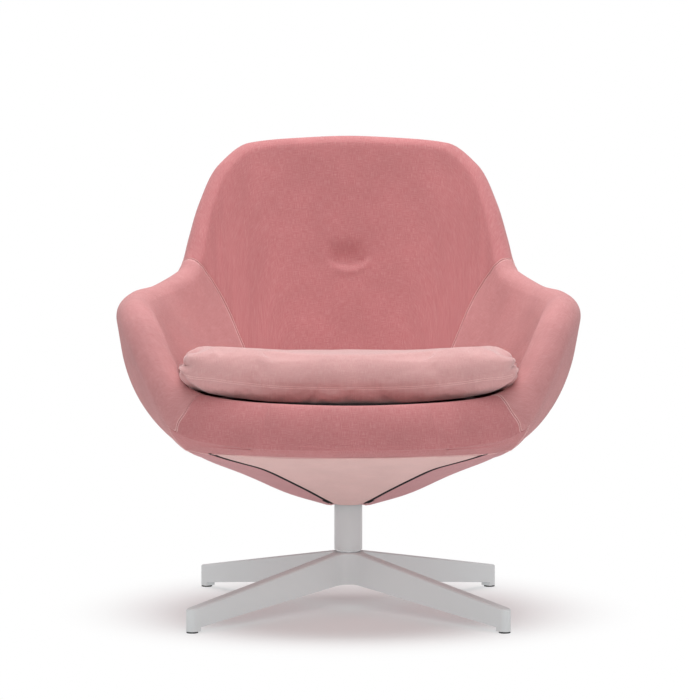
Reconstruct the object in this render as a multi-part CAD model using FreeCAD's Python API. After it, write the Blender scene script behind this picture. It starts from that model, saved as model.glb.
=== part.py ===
"""Pedestal swivel armchair: a padded bucket seat with a loose cushion on a four-legged cast base.

Millimetres, +Z up, and the front of the chair faces -Y. The origin is on the floor, on the swivel
axis. The bucket is drawn in upright half planes through the swivel axis, which turn from the front
(0 degrees) past the arm (90) to the back (180). What lies inside the bucket is drawn as an inset
of the same outline, so the frame and the covers follow it.
"""
import math
import os

import FreeCAD
import Part

# Bucket outline: one value per station, and the station is the plane's azimuth in degrees
STATION = (0, 24, 38, 47, 52, 58, 66, 76, 90, 106, 122, 127, 132, 138, 145, 153, 165, 180)
RIM_RADIUS = (356, 358, 364, 372, 376, 379, 380, 378, 364, 352, 351, 358, 373, 392, 406, 402, 376, 361)
RIM_HEIGHT = (387, 389, 395, 416, 440, 475, 518, 541, 549, 557, 577, 600, 643, 700, 757, 795, 808, 811)
RIM_LEAN = (3, 3, 5, 10, 11, 12, 12, 11, 12, 14, 18, 19, 20, 20, 20, 20, 19, 18)
NOSE_OUT = (22, 22, 24, 26, 27, 29, 30, 29, 28, 27, 26, 25, 24, 23, 23, 23, 23, 23)
NOSE_IN = (26, 26, 28, 30, 33, 36, 38, 38, 34, 30, 26, 25, 24, 23, 23, 23, 23, 23)
DROP_OUT = (68, 69, 68, 66, 66, 62, 50, 40, 36, 34, 35, 36, 36, 34, 30, 27, 26, 26)
DROP_IN = (8, 8, 12, 22, 33, 44, 46, 42, 38, 34, 35, 36, 36, 34, 30, 27, 26, 26)
BILGE_RADIUS = (372, 372, 371, 371, 371, 371, 368, 365, 362, 338, 305, 293, 283, 272, 262, 256, 252, 250)
BILGE_ARC = (10, 10, 30, 90, 130, 175, 215, 235, 240, 190, 110, 90, 75, 60, 50, 50, 50, 50)
FOOT_RADIUS = (300, 301, 306, 314, 317, 312, 300, 284, 268, 240, 212, 205, 198, 190, 184, 178, 173, 170)
AZIMUTH_STEP = 7.5
WALL_SAG = 0.045

# Cone under the bucket, and the layers that lie on it
CONE_SLOPE = 21.0
COLLAR_HEIGHT = 177.0
COLLAR_CLEARANCE = 0.6
COVER = 3.0
LAYER_GAP = 0.6
SEAM_GAP = 0.4
FRONT_PANEL_RADIUS = 350.0
SIDE_PANEL_RADIUS = 212.0

# Seat deck
DECK_HEIGHT = 362.0
DECK_TILT = 3.5
SEAT_PAD_RADIUS = 160.0
DECK_RISE = 40.0

# Seams: azimuths of the panel joins, and of the two zips in the underside
APRON_SEAM = 45.0
BACK_SEAM = 120.0
ZIP_AZIMUTH = 38.0
ZIP_WIDTH = 5.0
ZIP_START_RADIUS = 40.0
ZIP_END_RADIUS = 331.0
SLIDER_LENGTH = 12.0
SLIDER_WIDTH = 6.0
SLIDER_THICKNESS = 2.4
SLIDER_SETBACK = 8.0

# Pan and frame inside the upholstery
PAN_FLOOR = 232.0
PAN_THICKNESS = 6.0
PAN_RADIUS = 205.0
PAN_HOLE_RADIUS = 14.0
RIBS = (("arm_front_rib", 66.0), ("arm_rear_rib", 97.0), ("wing_rib", 135.0), ("back_side_rib", 158.0))
CENTRE_RIB_AZIMUTH = 180.0
RIB_THICKNESS = 4.0
RIB_WIDTH = 22.0
RIB_FOOT = 36.0
RIM_BAR_RADIUS = 4.0
RIM_BAR_BENDS = (52.5, 66, 90, 110, 124, 134, 144, 156, 170)
SEATING = 0.3
FRAME_CLEARANCE = 0.5

# Tuft in the back
TUFT_HEIGHT = 590.0
TUFT_SPHERE = 62.0
TUFT_DEPTH = 11.0
BUTTON_RADIUS = 8.0
BUTTON_THICKNESS = 3.0
TWINE_RADIUS = 1.2

# Loose cushion: one value per section, from the middle to one end, and rises above the deck
CUSHION_X = (0, 90, 170, 225, 255, 268)
CUSHION_FRONT = (-322, -319, -311, -298, -278, -248)
CUSHION_REAR = (158, 146, 108, 60, 8, -90)
FRONT_TOP_RISE = (104, 106, 110, 107, 92, 84)
FRONT_BOTTOM_RISE = (23, 26, 35, 46, 59, 72)
REAR_THICKNESS = (74, 73, 68, 56, 34, 12)
REAR_RISE = (0.6, 2, 8, 18, 32, 46)
CUSHION_CROWN = 14.0
CUSHION_ROUND = 12.0
CUSHION_LIFT = 0.4
CORE_FRONT = 290.0
CORE_REAR = 92.0
CORE_HALF_WIDTH = 190.0
CORE_CORNER = 60.0
CORE_THICKNESS = 44.0
CORE_HEIGHT = 16.0

# Column, plate and swivel
COLUMN_RADIUS = 24.0
COLUMN_WALL = 3.0
COLUMN_FOOT_GAP = 4.0
PLATE_THICKNESS = 5.0
PLATE_RADIUS = 112.0
PLATE_COLLAR_WALL = 6.0
PLATE_COLLAR_HEIGHT = 34.0
GUSSET_THICKNESS = 5.0
GUSSET_REACH = 100.0
GUSSET_TOE = 4.0
FIT = 0.05
SPINDLE_RADIUS = 12.5
SPINDLE_HEADROOM = 6.0
BUSH_LENGTH = 20.0
BUSH_SETBACK = 22.0
CLIP_THICKNESS = 1.6
CLIP_GROOVE_DEPTH = 1.2
CLIP_RADIUS = 16.0
UPPER_WASHER_THICKNESS = 2.0
UPPER_WASHER_RADIUS = 18.0
LOWER_WASHER_THICKNESS = 3.0
LOWER_WASHER_RADIUS = 20.5
SCREW_CIRCLE = 80.0
SCREW_COUNT = 4
SCREW_RADIUS = 3.0
SCREW_HEAD_RADIUS = 5.5
SCREW_HEAD = 4.0
INSERT_RADIUS = 4.6
INSERT_FLANGE_RADIUS = 8.0
INSERT_FLANGE = 1.4

# Star base
FOOT_HALF_SPACING = 255.0
LEG_WIDTH = 20.0
LEG_FILLET = 30.0
HUB_TOP = 99.0
HUB_BOTTOM = 45.0
HUB_FLAT_RADIUS = 26.0
LEG_END_TOP = 37.0
LEG_END_BOTTOM = 9.0
LEG_EDGE_BEVEL = 2.0
GLIDE_RADIUS = 9.6
GLIDE_THICKNESS = 2.5
GLIDE_STEM_RADIUS = 4.0
GLIDE_STEM_LENGTH = 14.0
BOLT_RADIUS = 6.0
BOLT_HEAD_RADIUS = 10.0
BOLT_HEAD = 6.5
BOLT_LENGTH = 34.0
BOLT_WASHER_RADIUS = 12.5
BOLT_WASHER = 2.0
BOLT_RECESS_RADIUS = 13.0
HUB_FLOOR = 10.0

PARTS = "parts"
ORIGIN = FreeCAD.Vector(0, 0, 0)
UP = FreeCAD.Vector(0, 0, 1)
ACROSS = FreeCAD.Vector(1, 0, 0)
FAR = 600.0


def save(shape, node):
    """Write one piece, or one group of alike pieces, to its own file."""
    shape.exportStep(os.path.join(PARTS, node + ".step"))


def smooth_slope(widths, rises, i):
    """Slope at a station that keeps the curve through the table free of overshoot."""
    before = rises[i - 1] / widths[i - 1]
    after = rises[i] / widths[i]
    if before * after <= 0:
        return 0.0
    heavy = 2 * widths[i] + widths[i - 1]
    light = widths[i] + 2 * widths[i - 1]
    return (heavy + light) / (heavy / before + light / after)


def at_station(values, azimuth):
    """Read a station table at any azimuth, on a smooth curve that is level at front and back."""
    azimuth = abs(azimuth) if abs(azimuth) <= 180 else 360 - abs(azimuth)
    widths = [b - a for a, b in zip(STATION, STATION[1:])]
    rises = [b - a for a, b in zip(values, values[1:])]
    for i, width in enumerate(widths):
        if azimuth <= STATION[i + 1]:
            start = smooth_slope(widths, rises, i) if i > 0 else 0.0
            end = smooth_slope(widths, rises, i + 1) if i + 1 < len(widths) else 0.0
            t = (azimuth - STATION[i]) / width
            blend = t * t * (3 - 2 * t)
            swell = start * t * (1 - t) ** 2 - end * t * t * (1 - t)
            return values[i] + rises[i] * blend + width * swell
    return values[-1]


def heading(degrees):
    """Unit direction in a section plane: 0 points outwards and 90 points up."""
    return (math.cos(math.radians(degrees)), math.sin(math.radians(degrees)))


def shifted(point, direction, distance):
    """Point moved along a direction."""
    return (point[0] + direction[0] * distance, point[1] + direction[1] * distance)


def unit(start, end):
    """Unit direction from one point of a section to another."""
    length = math.dist(start, end)
    return ((end[0] - start[0]) / length, (end[1] - start[1]) / length)


def left_of(direction):
    """Direction turned a quarter turn anticlockwise, which on the outer outline is inwards."""
    return (-direction[1], direction[0])


def deck_height(azimuth, radius):
    """Height of the tilted seat deck at a place in plan."""
    return DECK_HEIGHT + math.tan(math.radians(DECK_TILT)) * radius * math.cos(math.radians(azimuth))


def on_cone(radius, inset=0.0):
    """Point over the cone under the bucket at a radius, where the inset is square to the cone."""
    slope = math.radians(CONE_SLOPE)
    run = radius - COLUMN_RADIUS - COLLAR_CLEARANCE
    return (radius, COLLAR_HEIGHT + run * math.tan(slope) + inset / math.cos(slope))


def cone_radius_at(height, inset):
    """Radius at which an inset of the cone reaches a height."""
    slope = math.radians(CONE_SLOPE)
    rise = height - COLLAR_HEIGHT - inset / math.cos(slope)
    return COLUMN_RADIUS + COLLAR_CLEARANCE + rise / math.tan(slope)


class Section:
    """The bucket's outline in one upright half plane, at a given inset from its outer face."""

    def __init__(self, azimuth, inset=0.0):
        self.azimuth = azimuth
        lean = heading(90 - at_station(RIM_LEAN, azimuth))
        across = (lean[1], -lean[0])
        drop_out = at_station(DROP_OUT, azimuth)
        drop_in = at_station(DROP_IN, azimuth)
        nose_out = at_station(NOSE_OUT, azimuth)
        nose_in = at_station(NOSE_IN, azimuth)
        diagonal = math.sqrt(0.5)
        self.lean = lean
        self.tip = (at_station(RIM_RADIUS, azimuth), at_station(RIM_HEIGHT, azimuth))
        outer_centre = shifted(self.tip, lean, -drop_out)
        inner_centre = shifted(self.tip, lean, -drop_in)
        outer_side = shifted(outer_centre, lean, drop_out * diagonal)
        inner_side = shifted(inner_centre, lean, drop_in * diagonal)
        self.nose_outer = shifted(outer_side, across, nose_out * diagonal)
        self.nose_inner = shifted(inner_side, across, -nose_in * diagonal)
        self.nose_end = shifted(inner_centre, across, -nose_in)
        self.nose_start = shifted(outer_centre, across, nose_out - inset)
        foot_radius = at_station(FOOT_RADIUS, azimuth)
        self.foot = (foot_radius, deck_height(azimuth, foot_radius) - COVER - LAYER_GAP)

        corner = on_cone(at_station(BILGE_RADIUS, azimuth))
        arc = at_station(BILGE_ARC, azimuth)
        below = heading(CONE_SLOPE)
        above = unit(corner, shifted(outer_centre, across, nose_out))
        turn = math.acos(below[0] * above[0] + below[1] * above[1])
        start = shifted(corner, below, -arc * math.tan(turn / 2))
        centre = shifted(start, left_of(below), arc)
        self.bilge_start = shifted(centre, left_of(below), inset - arc)
        self.bilge_middle = shifted(centre, unit(centre, corner), arc - inset)
        self.bilge_end = shifted(centre, left_of(above), inset - arc)

    def place(self, point):
        """Point of the section as a point in space."""
        turn = math.radians(self.azimuth)
        return FreeCAD.Vector(point[0] * math.sin(turn), -point[0] * math.cos(turn), point[1])

    def line(self, start, end):
        """Straight edge between two points of the section."""
        return Part.LineSegment(self.place(start), self.place(end)).toShape()

    def arc(self, start, middle, end):
        """Arc edge through three points of the section."""
        return Part.Arc(self.place(start), self.place(middle), self.place(end)).toShape()

    def outside(self, start):
        """Edges up the outer face, from a point of the underside to where the nose begins."""
        return [
            self.line(start, self.bilge_start),
            self.arc(self.bilge_start, self.bilge_middle, self.bilge_end),
            self.line(self.bilge_end, self.nose_start),
        ]

    def over_the_rim(self):
        """Edges over the nose and down the inner face to the deck."""
        middle = ((self.nose_end[0] + self.foot[0]) / 2, (self.nose_end[1] + self.foot[1]) / 2)
        sag = math.dist(self.nose_end, self.foot) * WALL_SAG
        belly = shifted(middle, left_of(unit(self.nose_end, self.foot)), sag)
        return [
            self.arc(self.nose_start, self.nose_outer, self.tip),
            self.arc(self.tip, self.nose_inner, self.nose_end),
            self.arc(self.nose_end, belly, self.foot),
        ]

    def normal(self):
        """Direction square to the section plane."""
        turn = math.radians(self.azimuth)
        return FreeCAD.Vector(math.cos(turn), math.sin(turn), 0)

    def plate(self, edges, thickness):
        """Flat plate in the section plane, centred on it."""
        face = Part.Face(Part.Wire(edges))
        face.translate(self.normal() * (-thickness / 2))
        return face.extrude(self.normal() * thickness)

    def outline(self, points):
        """Closed chain of straight edges through points of the section."""
        return [self.line(a, b) for a, b in zip(points, points[1:] + points[:1])]


def azimuths(low, high):
    """Azimuths of the loft's sections from one seam to another."""
    count = round((high - low) / AZIMUTH_STEP)
    return [low + (high - low) * i / count for i in range(count + 1)]


def turned(points, low, high):
    """Solid swept by a closed outline about the swivel axis, between two azimuths."""
    corners = [FreeCAD.Vector(radius, 0, height) for radius, height in points]
    face = Part.Face(Part.makePolygon(corners + corners[:1]))
    solid = face.revolve(ORIGIN, UP, high - low)
    solid.rotate(ORIGIN, UP, low - 90)
    return solid


def ring(inner, outer, low, high):
    """Flat washer on the swivel axis."""
    return rod(outer, low, high).cut(rod(inner, low, high))


def rod(radius, low, high, place=(0.0, 0.0)):
    """Upright cylinder."""
    return Part.makeCylinder(radius, high - low, FreeCAD.Vector(place[0], place[1], low))


def mirrored(shape):
    """The same piece on the other side of the chair."""
    return shape.mirror(ORIGIN, ACROSS)


def on_circle(radius, count, first=0.0):
    """Places evenly spaced on a circle about the swivel axis."""
    turns = [math.radians(first + 360 * i / count) for i in range(count)]
    return [(radius * math.cos(turn), radius * math.sin(turn)) for turn in turns]


def bucket_panel(low, high):
    """Padded panel of the bucket between two seams, from its outer face to its inner face."""
    wires = []
    for azimuth in azimuths(low, high):
        section = Section(azimuth)
        root = on_cone(SEAT_PAD_RADIUS)
        top = (SEAT_PAD_RADIUS, deck_height(azimuth, SEAT_PAD_RADIUS) - COVER - LAYER_GAP)
        edges = section.outside(root) + section.over_the_rim()
        edges += [section.line(section.foot, top), section.line(top, root)]
        wires.append(Part.Wire(edges))
    return Part.makeLoft(wires, True, True)


def room_for_underside():
    """Space that the pan, the underside covers and their gaps take from the panels."""
    over_pan = 2 * LAYER_GAP + COVER + PAN_THICKNESS
    floor = PAN_FLOOR + PAN_THICKNESS + LAYER_GAP
    edge = SIDE_PANEL_RADIUS + SEAM_GAP
    all_round = [(0, 0), (edge, 0), on_cone(edge, over_pan), (cone_radius_at(floor, over_pan), floor), (0, floor)]
    edge = FRONT_PANEL_RADIUS + SEAM_GAP
    in_front = [(0, 0), (edge, 0), on_cone(edge, COVER + LAYER_GAP), on_cone(PAN_RADIUS, COVER + LAYER_GAP)]
    return turned(all_round, 0, 360).fuse(turned(in_front, -ZIP_AZIMUTH, ZIP_AZIMUTH))


def zip_strip(side, clearance):
    """Zip along the cone, or with a clearance the groove that it lies in."""
    section = Section(side * ZIP_AZIMUTH)
    start = ZIP_START_RADIUS - clearance
    end = ZIP_END_RADIUS + clearance
    under = -FAR if clearance else 0.0
    corners = [on_cone(start, under), on_cone(end, under)]
    corners += [on_cone(end, COVER + clearance), on_cone(start, COVER + clearance)]
    return section.plate(section.outline(corners), ZIP_WIDTH + 2 * clearance)


def zip_slider(side):
    """Slider at the upper end of a zip, just below its teeth."""
    section = Section(side * ZIP_AZIMUTH)
    end = ZIP_END_RADIUS - SLIDER_SETBACK
    start = end - SLIDER_LENGTH
    low = -SEATING - SLIDER_THICKNESS
    corners = [on_cone(start, low), on_cone(end, low), on_cone(end, -SEATING), on_cone(start, -SEATING)]
    return section.plate(section.outline(corners), SLIDER_WIDTH)


def rib_inset():
    """Depth of the ribs' outer edge under the bucket's outer face: they stand on the pan."""
    return COVER + LAYER_GAP + PAN_THICKNESS + SEATING


def rib(azimuth, clearance=0.0):
    """Flat bar from the pan up the middle of the wall, or with a clearance its slot."""
    outer = Section(azimuth, rib_inset() - clearance)
    inner = Section(azimuth, rib_inset() + RIB_WIDTH + clearance)
    root = PAN_RADIUS - RIB_FOOT - clearance
    low = on_cone(root, rib_inset() - clearance)
    high = on_cone(root, rib_inset() + RIB_WIDTH + clearance)
    outer.nose_start = shifted(outer.nose_start, outer.lean, clearance)
    inner.nose_start = shifted(inner.nose_start, inner.lean, clearance)
    edges = outer.outside(low) + [outer.line(outer.nose_start, inner.nose_start)]
    edges += list(reversed(inner.outside(high))) + [outer.line(high, low)]
    return outer.plate(Part.sortEdges(edges)[0], RIB_THICKNESS + 2 * clearance)


def rim_bar(clearance=0.0):
    """Round bar bent along the arms and the top of the back, on the ends of the ribs."""
    corners = []
    for azimuth in RIM_BAR_BENDS + tuple(360 - bend for bend in reversed(RIM_BAR_BENDS)):
        section = Section(azimuth, rib_inset() + RIB_WIDTH / 2)
        corners.append(section.place(shifted(section.nose_start, section.lean, RIM_BAR_RADIUS)))
    circle = Part.Circle(corners[0], corners[1] - corners[0], RIM_BAR_RADIUS + clearance).toShape()
    mitred = 1
    return Part.makePolygon(corners).makePipeShell([Part.Wire(circle)], True, False, mitred)


def above_deck(drop):
    """Everything above a plane that lies a drop below the seat deck."""
    block = Part.makeBox(2 * FAR, 2 * FAR, FAR, FreeCAD.Vector(-FAR, -FAR, 0))
    block.rotate(ORIGIN, ACROSS, -DECK_TILT)
    block.translate(UP * (DECK_HEIGHT - drop))
    return block


def tuft_axis():
    """Bottom of the tuft's dimple in the back, and the direction out of it."""
    section = Section(180.0)
    face = unit(section.foot, section.nose_end)
    share = (TUFT_HEIGHT - section.foot[1]) / (section.nose_end[1] - section.foot[1])
    chord = math.dist(section.foot, section.nose_end)
    sag = 4 * share * (1 - share) * chord * WALL_SAG
    surface = shifted(shifted(section.foot, face, share * chord), left_of(face), -sag)
    bottom = shifted(surface, left_of(face), -TUFT_DEPTH)
    out = section.place(shifted(bottom, left_of(face), 1.0)) - section.place(bottom)
    return section.place(bottom), out


def build_upholstery():
    """Padded panels with the space for what lies in them, the deck, and the underside covers."""
    frame_room = [rib(side * azimuth, FRAME_CLEARANCE) for _, azimuth in RIBS for side in (1, -1)]
    frame_room.append(rib(CENTRE_RIB_AZIMUTH, FRAME_CLEARANCE))
    frame_room.append(rim_bar(FRAME_CLEARANCE))
    underside = room_for_underside()
    grooves = [zip_strip(side, SEAM_GAP) for side in (1, -1)]

    apron = bucket_panel(-APRON_SEAM, APRON_SEAM).cut([underside] + grooves)
    save(apron, "apron_pad")
    arm = bucket_panel(APRON_SEAM, BACK_SEAM).cut([underside] + frame_room)
    save(arm, "arm_pad_left")
    save(mirrored(arm), "arm_pad_right")

    bottom, out = tuft_axis()
    dimple = Part.makeSphere(TUFT_SPHERE, bottom + out * TUFT_SPHERE)
    button = Part.makeCylinder(BUTTON_RADIUS, BUTTON_THICKNESS, bottom - out * (BUTTON_THICKNESS + SEATING), out)
    pocket_depth = BUTTON_THICKNESS + 2 * SEATING
    pocket = Part.makeCylinder(BUTTON_RADIUS + SEATING, pocket_depth, bottom - out * pocket_depth, out)
    centre_rib = rib(CENTRE_RIB_AZIMUTH)
    reach = bottom.distanceToPoint(centre_rib.common(Part.makeLine(bottom, bottom - out * FAR)).BoundBox.Center)
    twine_length = reach - RIB_WIDTH / 2 - BUTTON_THICKNESS - 3 * SEATING
    twine_start = bottom - out * (BUTTON_THICKNESS + 2 * SEATING)
    twine = Part.makeCylinder(TWINE_RADIUS, twine_length, twine_start, out * -1)
    bore = Part.makeCylinder(TWINE_RADIUS + SEATING, reach, bottom, out * -1)
    back = bucket_panel(BACK_SEAM, 360 - BACK_SEAM).cut([underside, dimple, pocket, bore] + frame_room)
    save(back, "back_pad")
    save(button, "tuft_button")
    save(twine, "tuft_twine")

    floor = PAN_FLOOR + PAN_THICKNESS + LAYER_GAP
    seat = rod(SEAT_PAD_RADIUS - LAYER_GAP, PAN_FLOOR, DECK_HEIGHT + DECK_RISE)
    seat = seat.cut([underside, above_deck(COVER + LAYER_GAP)])
    insert_room = INSERT_FLANGE_RADIUS + LAYER_GAP
    for place in on_circle(SCREW_CIRCLE, SCREW_COUNT):
        seat = seat.cut(rod(insert_room, floor, floor + INSERT_FLANGE + LAYER_GAP, place))
    save(seat, "seat_pad")

    corners = []
    for azimuth in azimuths(0, 360)[:-1]:
        radius = at_station(FOOT_RADIUS, azimuth) - LAYER_GAP
        corners.append(Section(azimuth).place((radius, deck_height(azimuth, radius) - COVER)))
    deck = Part.Face(Part.makePolygon(corners + corners[:1])).extrude(UP * COVER)
    save(deck, "deck_cover")

    collar = COLUMN_RADIUS + COLLAR_CLEARANCE
    front_outline = [on_cone(collar), on_cone(FRONT_PANEL_RADIUS)]
    front_outline += [on_cone(FRONT_PANEL_RADIUS, COVER), on_cone(collar, COVER)]
    save(turned(front_outline, -ZIP_AZIMUTH, ZIP_AZIMUTH).cut(grooves), "front_underside_cover")
    side_outline = [on_cone(collar), on_cone(SIDE_PANEL_RADIUS)]
    side_outline += [on_cone(SIDE_PANEL_RADIUS, COVER), on_cone(collar, COVER)]
    save(turned(side_outline, ZIP_AZIMUTH, 360 - ZIP_AZIMUTH).cut(grooves), "rear_underside_cover")
    for side, hand in ((1, "left"), (-1, "right")):
        save(zip_strip(side, 0.0), "zip_" + hand)
        save(zip_slider(side), "zip_slider_" + hand)


def build_frame():
    """Pan, ribs and rim bar."""
    under = COVER + LAYER_GAP
    over = under + PAN_THICKNESS
    top = PAN_FLOOR + PAN_THICKNESS
    outline = [(PAN_HOLE_RADIUS, PAN_FLOOR), (cone_radius_at(PAN_FLOOR, under), PAN_FLOOR)]
    outline += [on_cone(PAN_RADIUS, under), on_cone(PAN_RADIUS, over)]
    outline += [(cone_radius_at(top, over), top), (PAN_HOLE_RADIUS, top)]
    pan = turned(outline, 0, 360)
    for place in on_circle(SCREW_CIRCLE, SCREW_COUNT):
        pan = pan.cut(rod(INSERT_RADIUS + FIT, PAN_FLOOR, top, place))
    save(pan, "seat_pan")

    bar = rim_bar()
    cope = rim_bar(SEATING)
    for name, azimuth in RIBS:
        plate = rib(azimuth).cut(cope)
        save(plate, name + "_left")
        save(mirrored(plate), name + "_right")
    save(rib(CENTRE_RIB_AZIMUTH).cut(cope), "back_centre_rib")
    save(bar, "rim_bar")


def cushion_body():
    """Loose cushion as a loft from end to end, pinched at its ends and crowned on top."""
    tilt = math.tan(math.radians(DECK_TILT))
    wires = []
    last = len(CUSHION_X) - 1
    for k in range(-last, last + 1):
        i = abs(k)
        x = math.copysign(CUSHION_X[i], k)
        front = CUSHION_FRONT[i]
        rear = CUSHION_REAR[i]
        rear_low = DECK_HEIGHT - tilt * rear + CUSHION_LIFT + REAR_RISE[i]
        rear_high = rear_low + REAR_THICKNESS[i]
        soft = min(CUSHION_ROUND, REAR_THICKNESS[i] / 2)
        crown = CUSHION_CROWN * (1 - i / (last + 1))
        front_low = DECK_HEIGHT + FRONT_BOTTOM_RISE[i]
        front_high = DECK_HEIGHT + FRONT_TOP_RISE[i]
        under_front = FreeCAD.Vector(x, front + soft, front_low)
        under_rear = FreeCAD.Vector(x, rear - soft, rear_low)
        rear_edge = FreeCAD.Vector(x, rear, (rear_low + rear_high) / 2)
        over_rear = FreeCAD.Vector(x, rear - soft, rear_high)
        middle = FreeCAD.Vector(x, (front + rear) / 2, (front_high + rear_high) / 2 + crown)
        over_front = FreeCAD.Vector(x, front + soft, front_high)
        front_edge = FreeCAD.Vector(x, front, (front_low + front_high) / 2)
        edges = [Part.LineSegment(under_front, under_rear).toShape()]
        edges.append(Part.Arc(under_rear, rear_edge, over_rear).toShape())
        edges.append(Part.Arc(over_rear, middle, over_front).toShape())
        edges.append(Part.Arc(over_front, front_edge, under_front).toShape())
        wires.append(Part.Wire(edges))
    return Part.makeLoft(wires, True, True)


def cushion_foam(clearance):
    """Foam slab with rounded corners, lying along the deck, or the room for it in the wadding."""
    depth = CORE_FRONT + CORE_REAR
    low = FreeCAD.Vector(-CORE_HALF_WIDTH, -CORE_FRONT, 0)
    slab = Part.makeBox(2 * CORE_HALF_WIDTH, depth, CORE_THICKNESS, low)
    upright = [edge for edge in slab.Edges if abs(edge.BoundBox.ZLength - CORE_THICKNESS) < FIT]
    slab = slab.makeFillet(CORE_CORNER, upright)
    if clearance:
        slab = slab.makeOffsetShape(clearance, FIT)
    slab.rotate(ORIGIN, ACROSS, -DECK_TILT)
    slab.translate(UP * (DECK_HEIGHT + CORE_HEIGHT))
    return slab


def build_cushion():
    """Foam core, and the sewn cover with its wadding round it."""
    save(cushion_foam(0.0), "cushion_core")
    save(cushion_body().cut(cushion_foam(SEATING)), "cushion_cover")


def build_column():
    """Column tube, the plate that it carries, and the screws and inserts that hold the pan."""
    foot = HUB_TOP + COLUMN_FOOT_GAP
    plate_top = PAN_FLOOR - SEATING
    plate_low = plate_top - PLATE_THICKNESS
    save(ring(COLUMN_RADIUS - COLUMN_WALL, COLUMN_RADIUS, foot, plate_low), "column_tube")

    collar_radius = COLUMN_RADIUS + PLATE_COLLAR_WALL
    collar_low = plate_low - PLATE_COLLAR_HEIGHT
    plate = ring(PAN_HOLE_RADIUS, PLATE_RADIUS, plate_low, plate_top)
    plate = plate.fuse(ring(COLUMN_RADIUS + FIT, collar_radius, collar_low, plate_low))
    for azimuth in (45.0, 135.0, 225.0, 315.0):
        section = Section(azimuth)
        start = collar_radius - PLATE_COLLAR_WALL / 2
        corners = [(start, collar_low + GUSSET_TOE), (collar_radius, collar_low + GUSSET_TOE)]
        corners += [(GUSSET_REACH, plate_low), (start, plate_low)]
        plate = plate.fuse(section.plate(section.outline(corners), GUSSET_THICKNESS))
    screws = []
    inserts = []
    pan_top = PAN_FLOOR + PAN_THICKNESS
    for place in on_circle(SCREW_CIRCLE, SCREW_COUNT):
        plate = plate.cut(rod(SCREW_RADIUS + SEATING, plate_low, plate_top, place))
        shank = rod(SCREW_RADIUS, plate_low, pan_top + INSERT_FLANGE, place)
        screws.append(shank.fuse(rod(SCREW_HEAD_RADIUS, plate_low - SCREW_HEAD, plate_low, place)))
        barrel = rod(INSERT_RADIUS, PAN_FLOOR + FIT, pan_top, place)
        flange = rod(INSERT_FLANGE_RADIUS, pan_top, pan_top + INSERT_FLANGE, place)
        hole = rod(SCREW_RADIUS + FIT, PAN_FLOOR, pan_top + INSERT_FLANGE, place)
        inserts.append(barrel.fuse(flange).cut(hole))
    save(plate.removeSplitter(), "mounting_plate")
    save(Part.makeCompound(screws), "plate_screws")
    save(Part.makeCompound(inserts), "pan_inserts")


def build_swivel():
    """Fixed spindle with its bushes, washers and clip, and the bolt that holds it in the hub."""
    running = SPINDLE_RADIUS + FIT
    washer_low = HUB_TOP + FIT
    washer_high = washer_low + LOWER_WASHER_THICKNESS
    save(ring(running, LOWER_WASHER_RADIUS, washer_low, washer_high), "lower_thrust_washer")
    bore = COLUMN_RADIUS - COLUMN_WALL
    low = washer_high + FIT
    save(ring(running, bore - FIT, low, low + BUSH_LENGTH), "lower_bush")
    spindle_top = PAN_FLOOR - SEATING - PLATE_THICKNESS - SPINDLE_HEADROOM
    high = spindle_top - BUSH_SETBACK
    save(ring(running, bore - FIT, high - BUSH_LENGTH, high), "upper_bush")
    washer_low = high + FIT
    washer_high = washer_low + UPPER_WASHER_THICKNESS
    save(ring(running, UPPER_WASHER_RADIUS, washer_low, washer_high), "upper_thrust_washer")
    clip_low = washer_high + FIT
    clip_high = clip_low + CLIP_THICKNESS
    groove_radius = SPINDLE_RADIUS - CLIP_GROOVE_DEPTH
    save(ring(groove_radius + FIT, CLIP_RADIUS, clip_low, clip_high), "retaining_clip")

    seat = HUB_BOTTOM + BOLT_HEAD + BOLT_WASHER + HUB_FLOOR
    spindle = rod(SPINDLE_RADIUS, seat, spindle_top)
    spindle = spindle.cut(ring(groove_radius, SPINDLE_RADIUS, clip_low - FIT, clip_high + FIT))
    head_top = HUB_BOTTOM + BOLT_HEAD
    bolt_top = head_top + BOLT_LENGTH
    save(spindle.cut(rod(BOLT_RADIUS + FIT, seat, bolt_top + SEATING)), "spindle")
    bolt = rod(BOLT_RADIUS, head_top, bolt_top).fuse(rod(BOLT_HEAD_RADIUS, HUB_BOTTOM, head_top))
    save(bolt, "spindle_bolt")
    save(ring(BOLT_RADIUS + FIT, BOLT_WASHER_RADIUS, head_top, head_top + BOLT_WASHER), "bolt_washer")


def along_legs(outline, turn):
    """Block whose side view is an outline, the same both ways along one line of legs."""
    points = [(-u, z) for u, z in reversed(outline)] + list(outline)
    corners = [FreeCAD.Vector(u, -FAR, z) for u, z in points]
    block = Part.Face(Part.makePolygon(corners + corners[:1])).extrude(FreeCAD.Vector(0, 2 * FAR, 0))
    block.rotate(ORIGIN, UP, turn)
    return block


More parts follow.
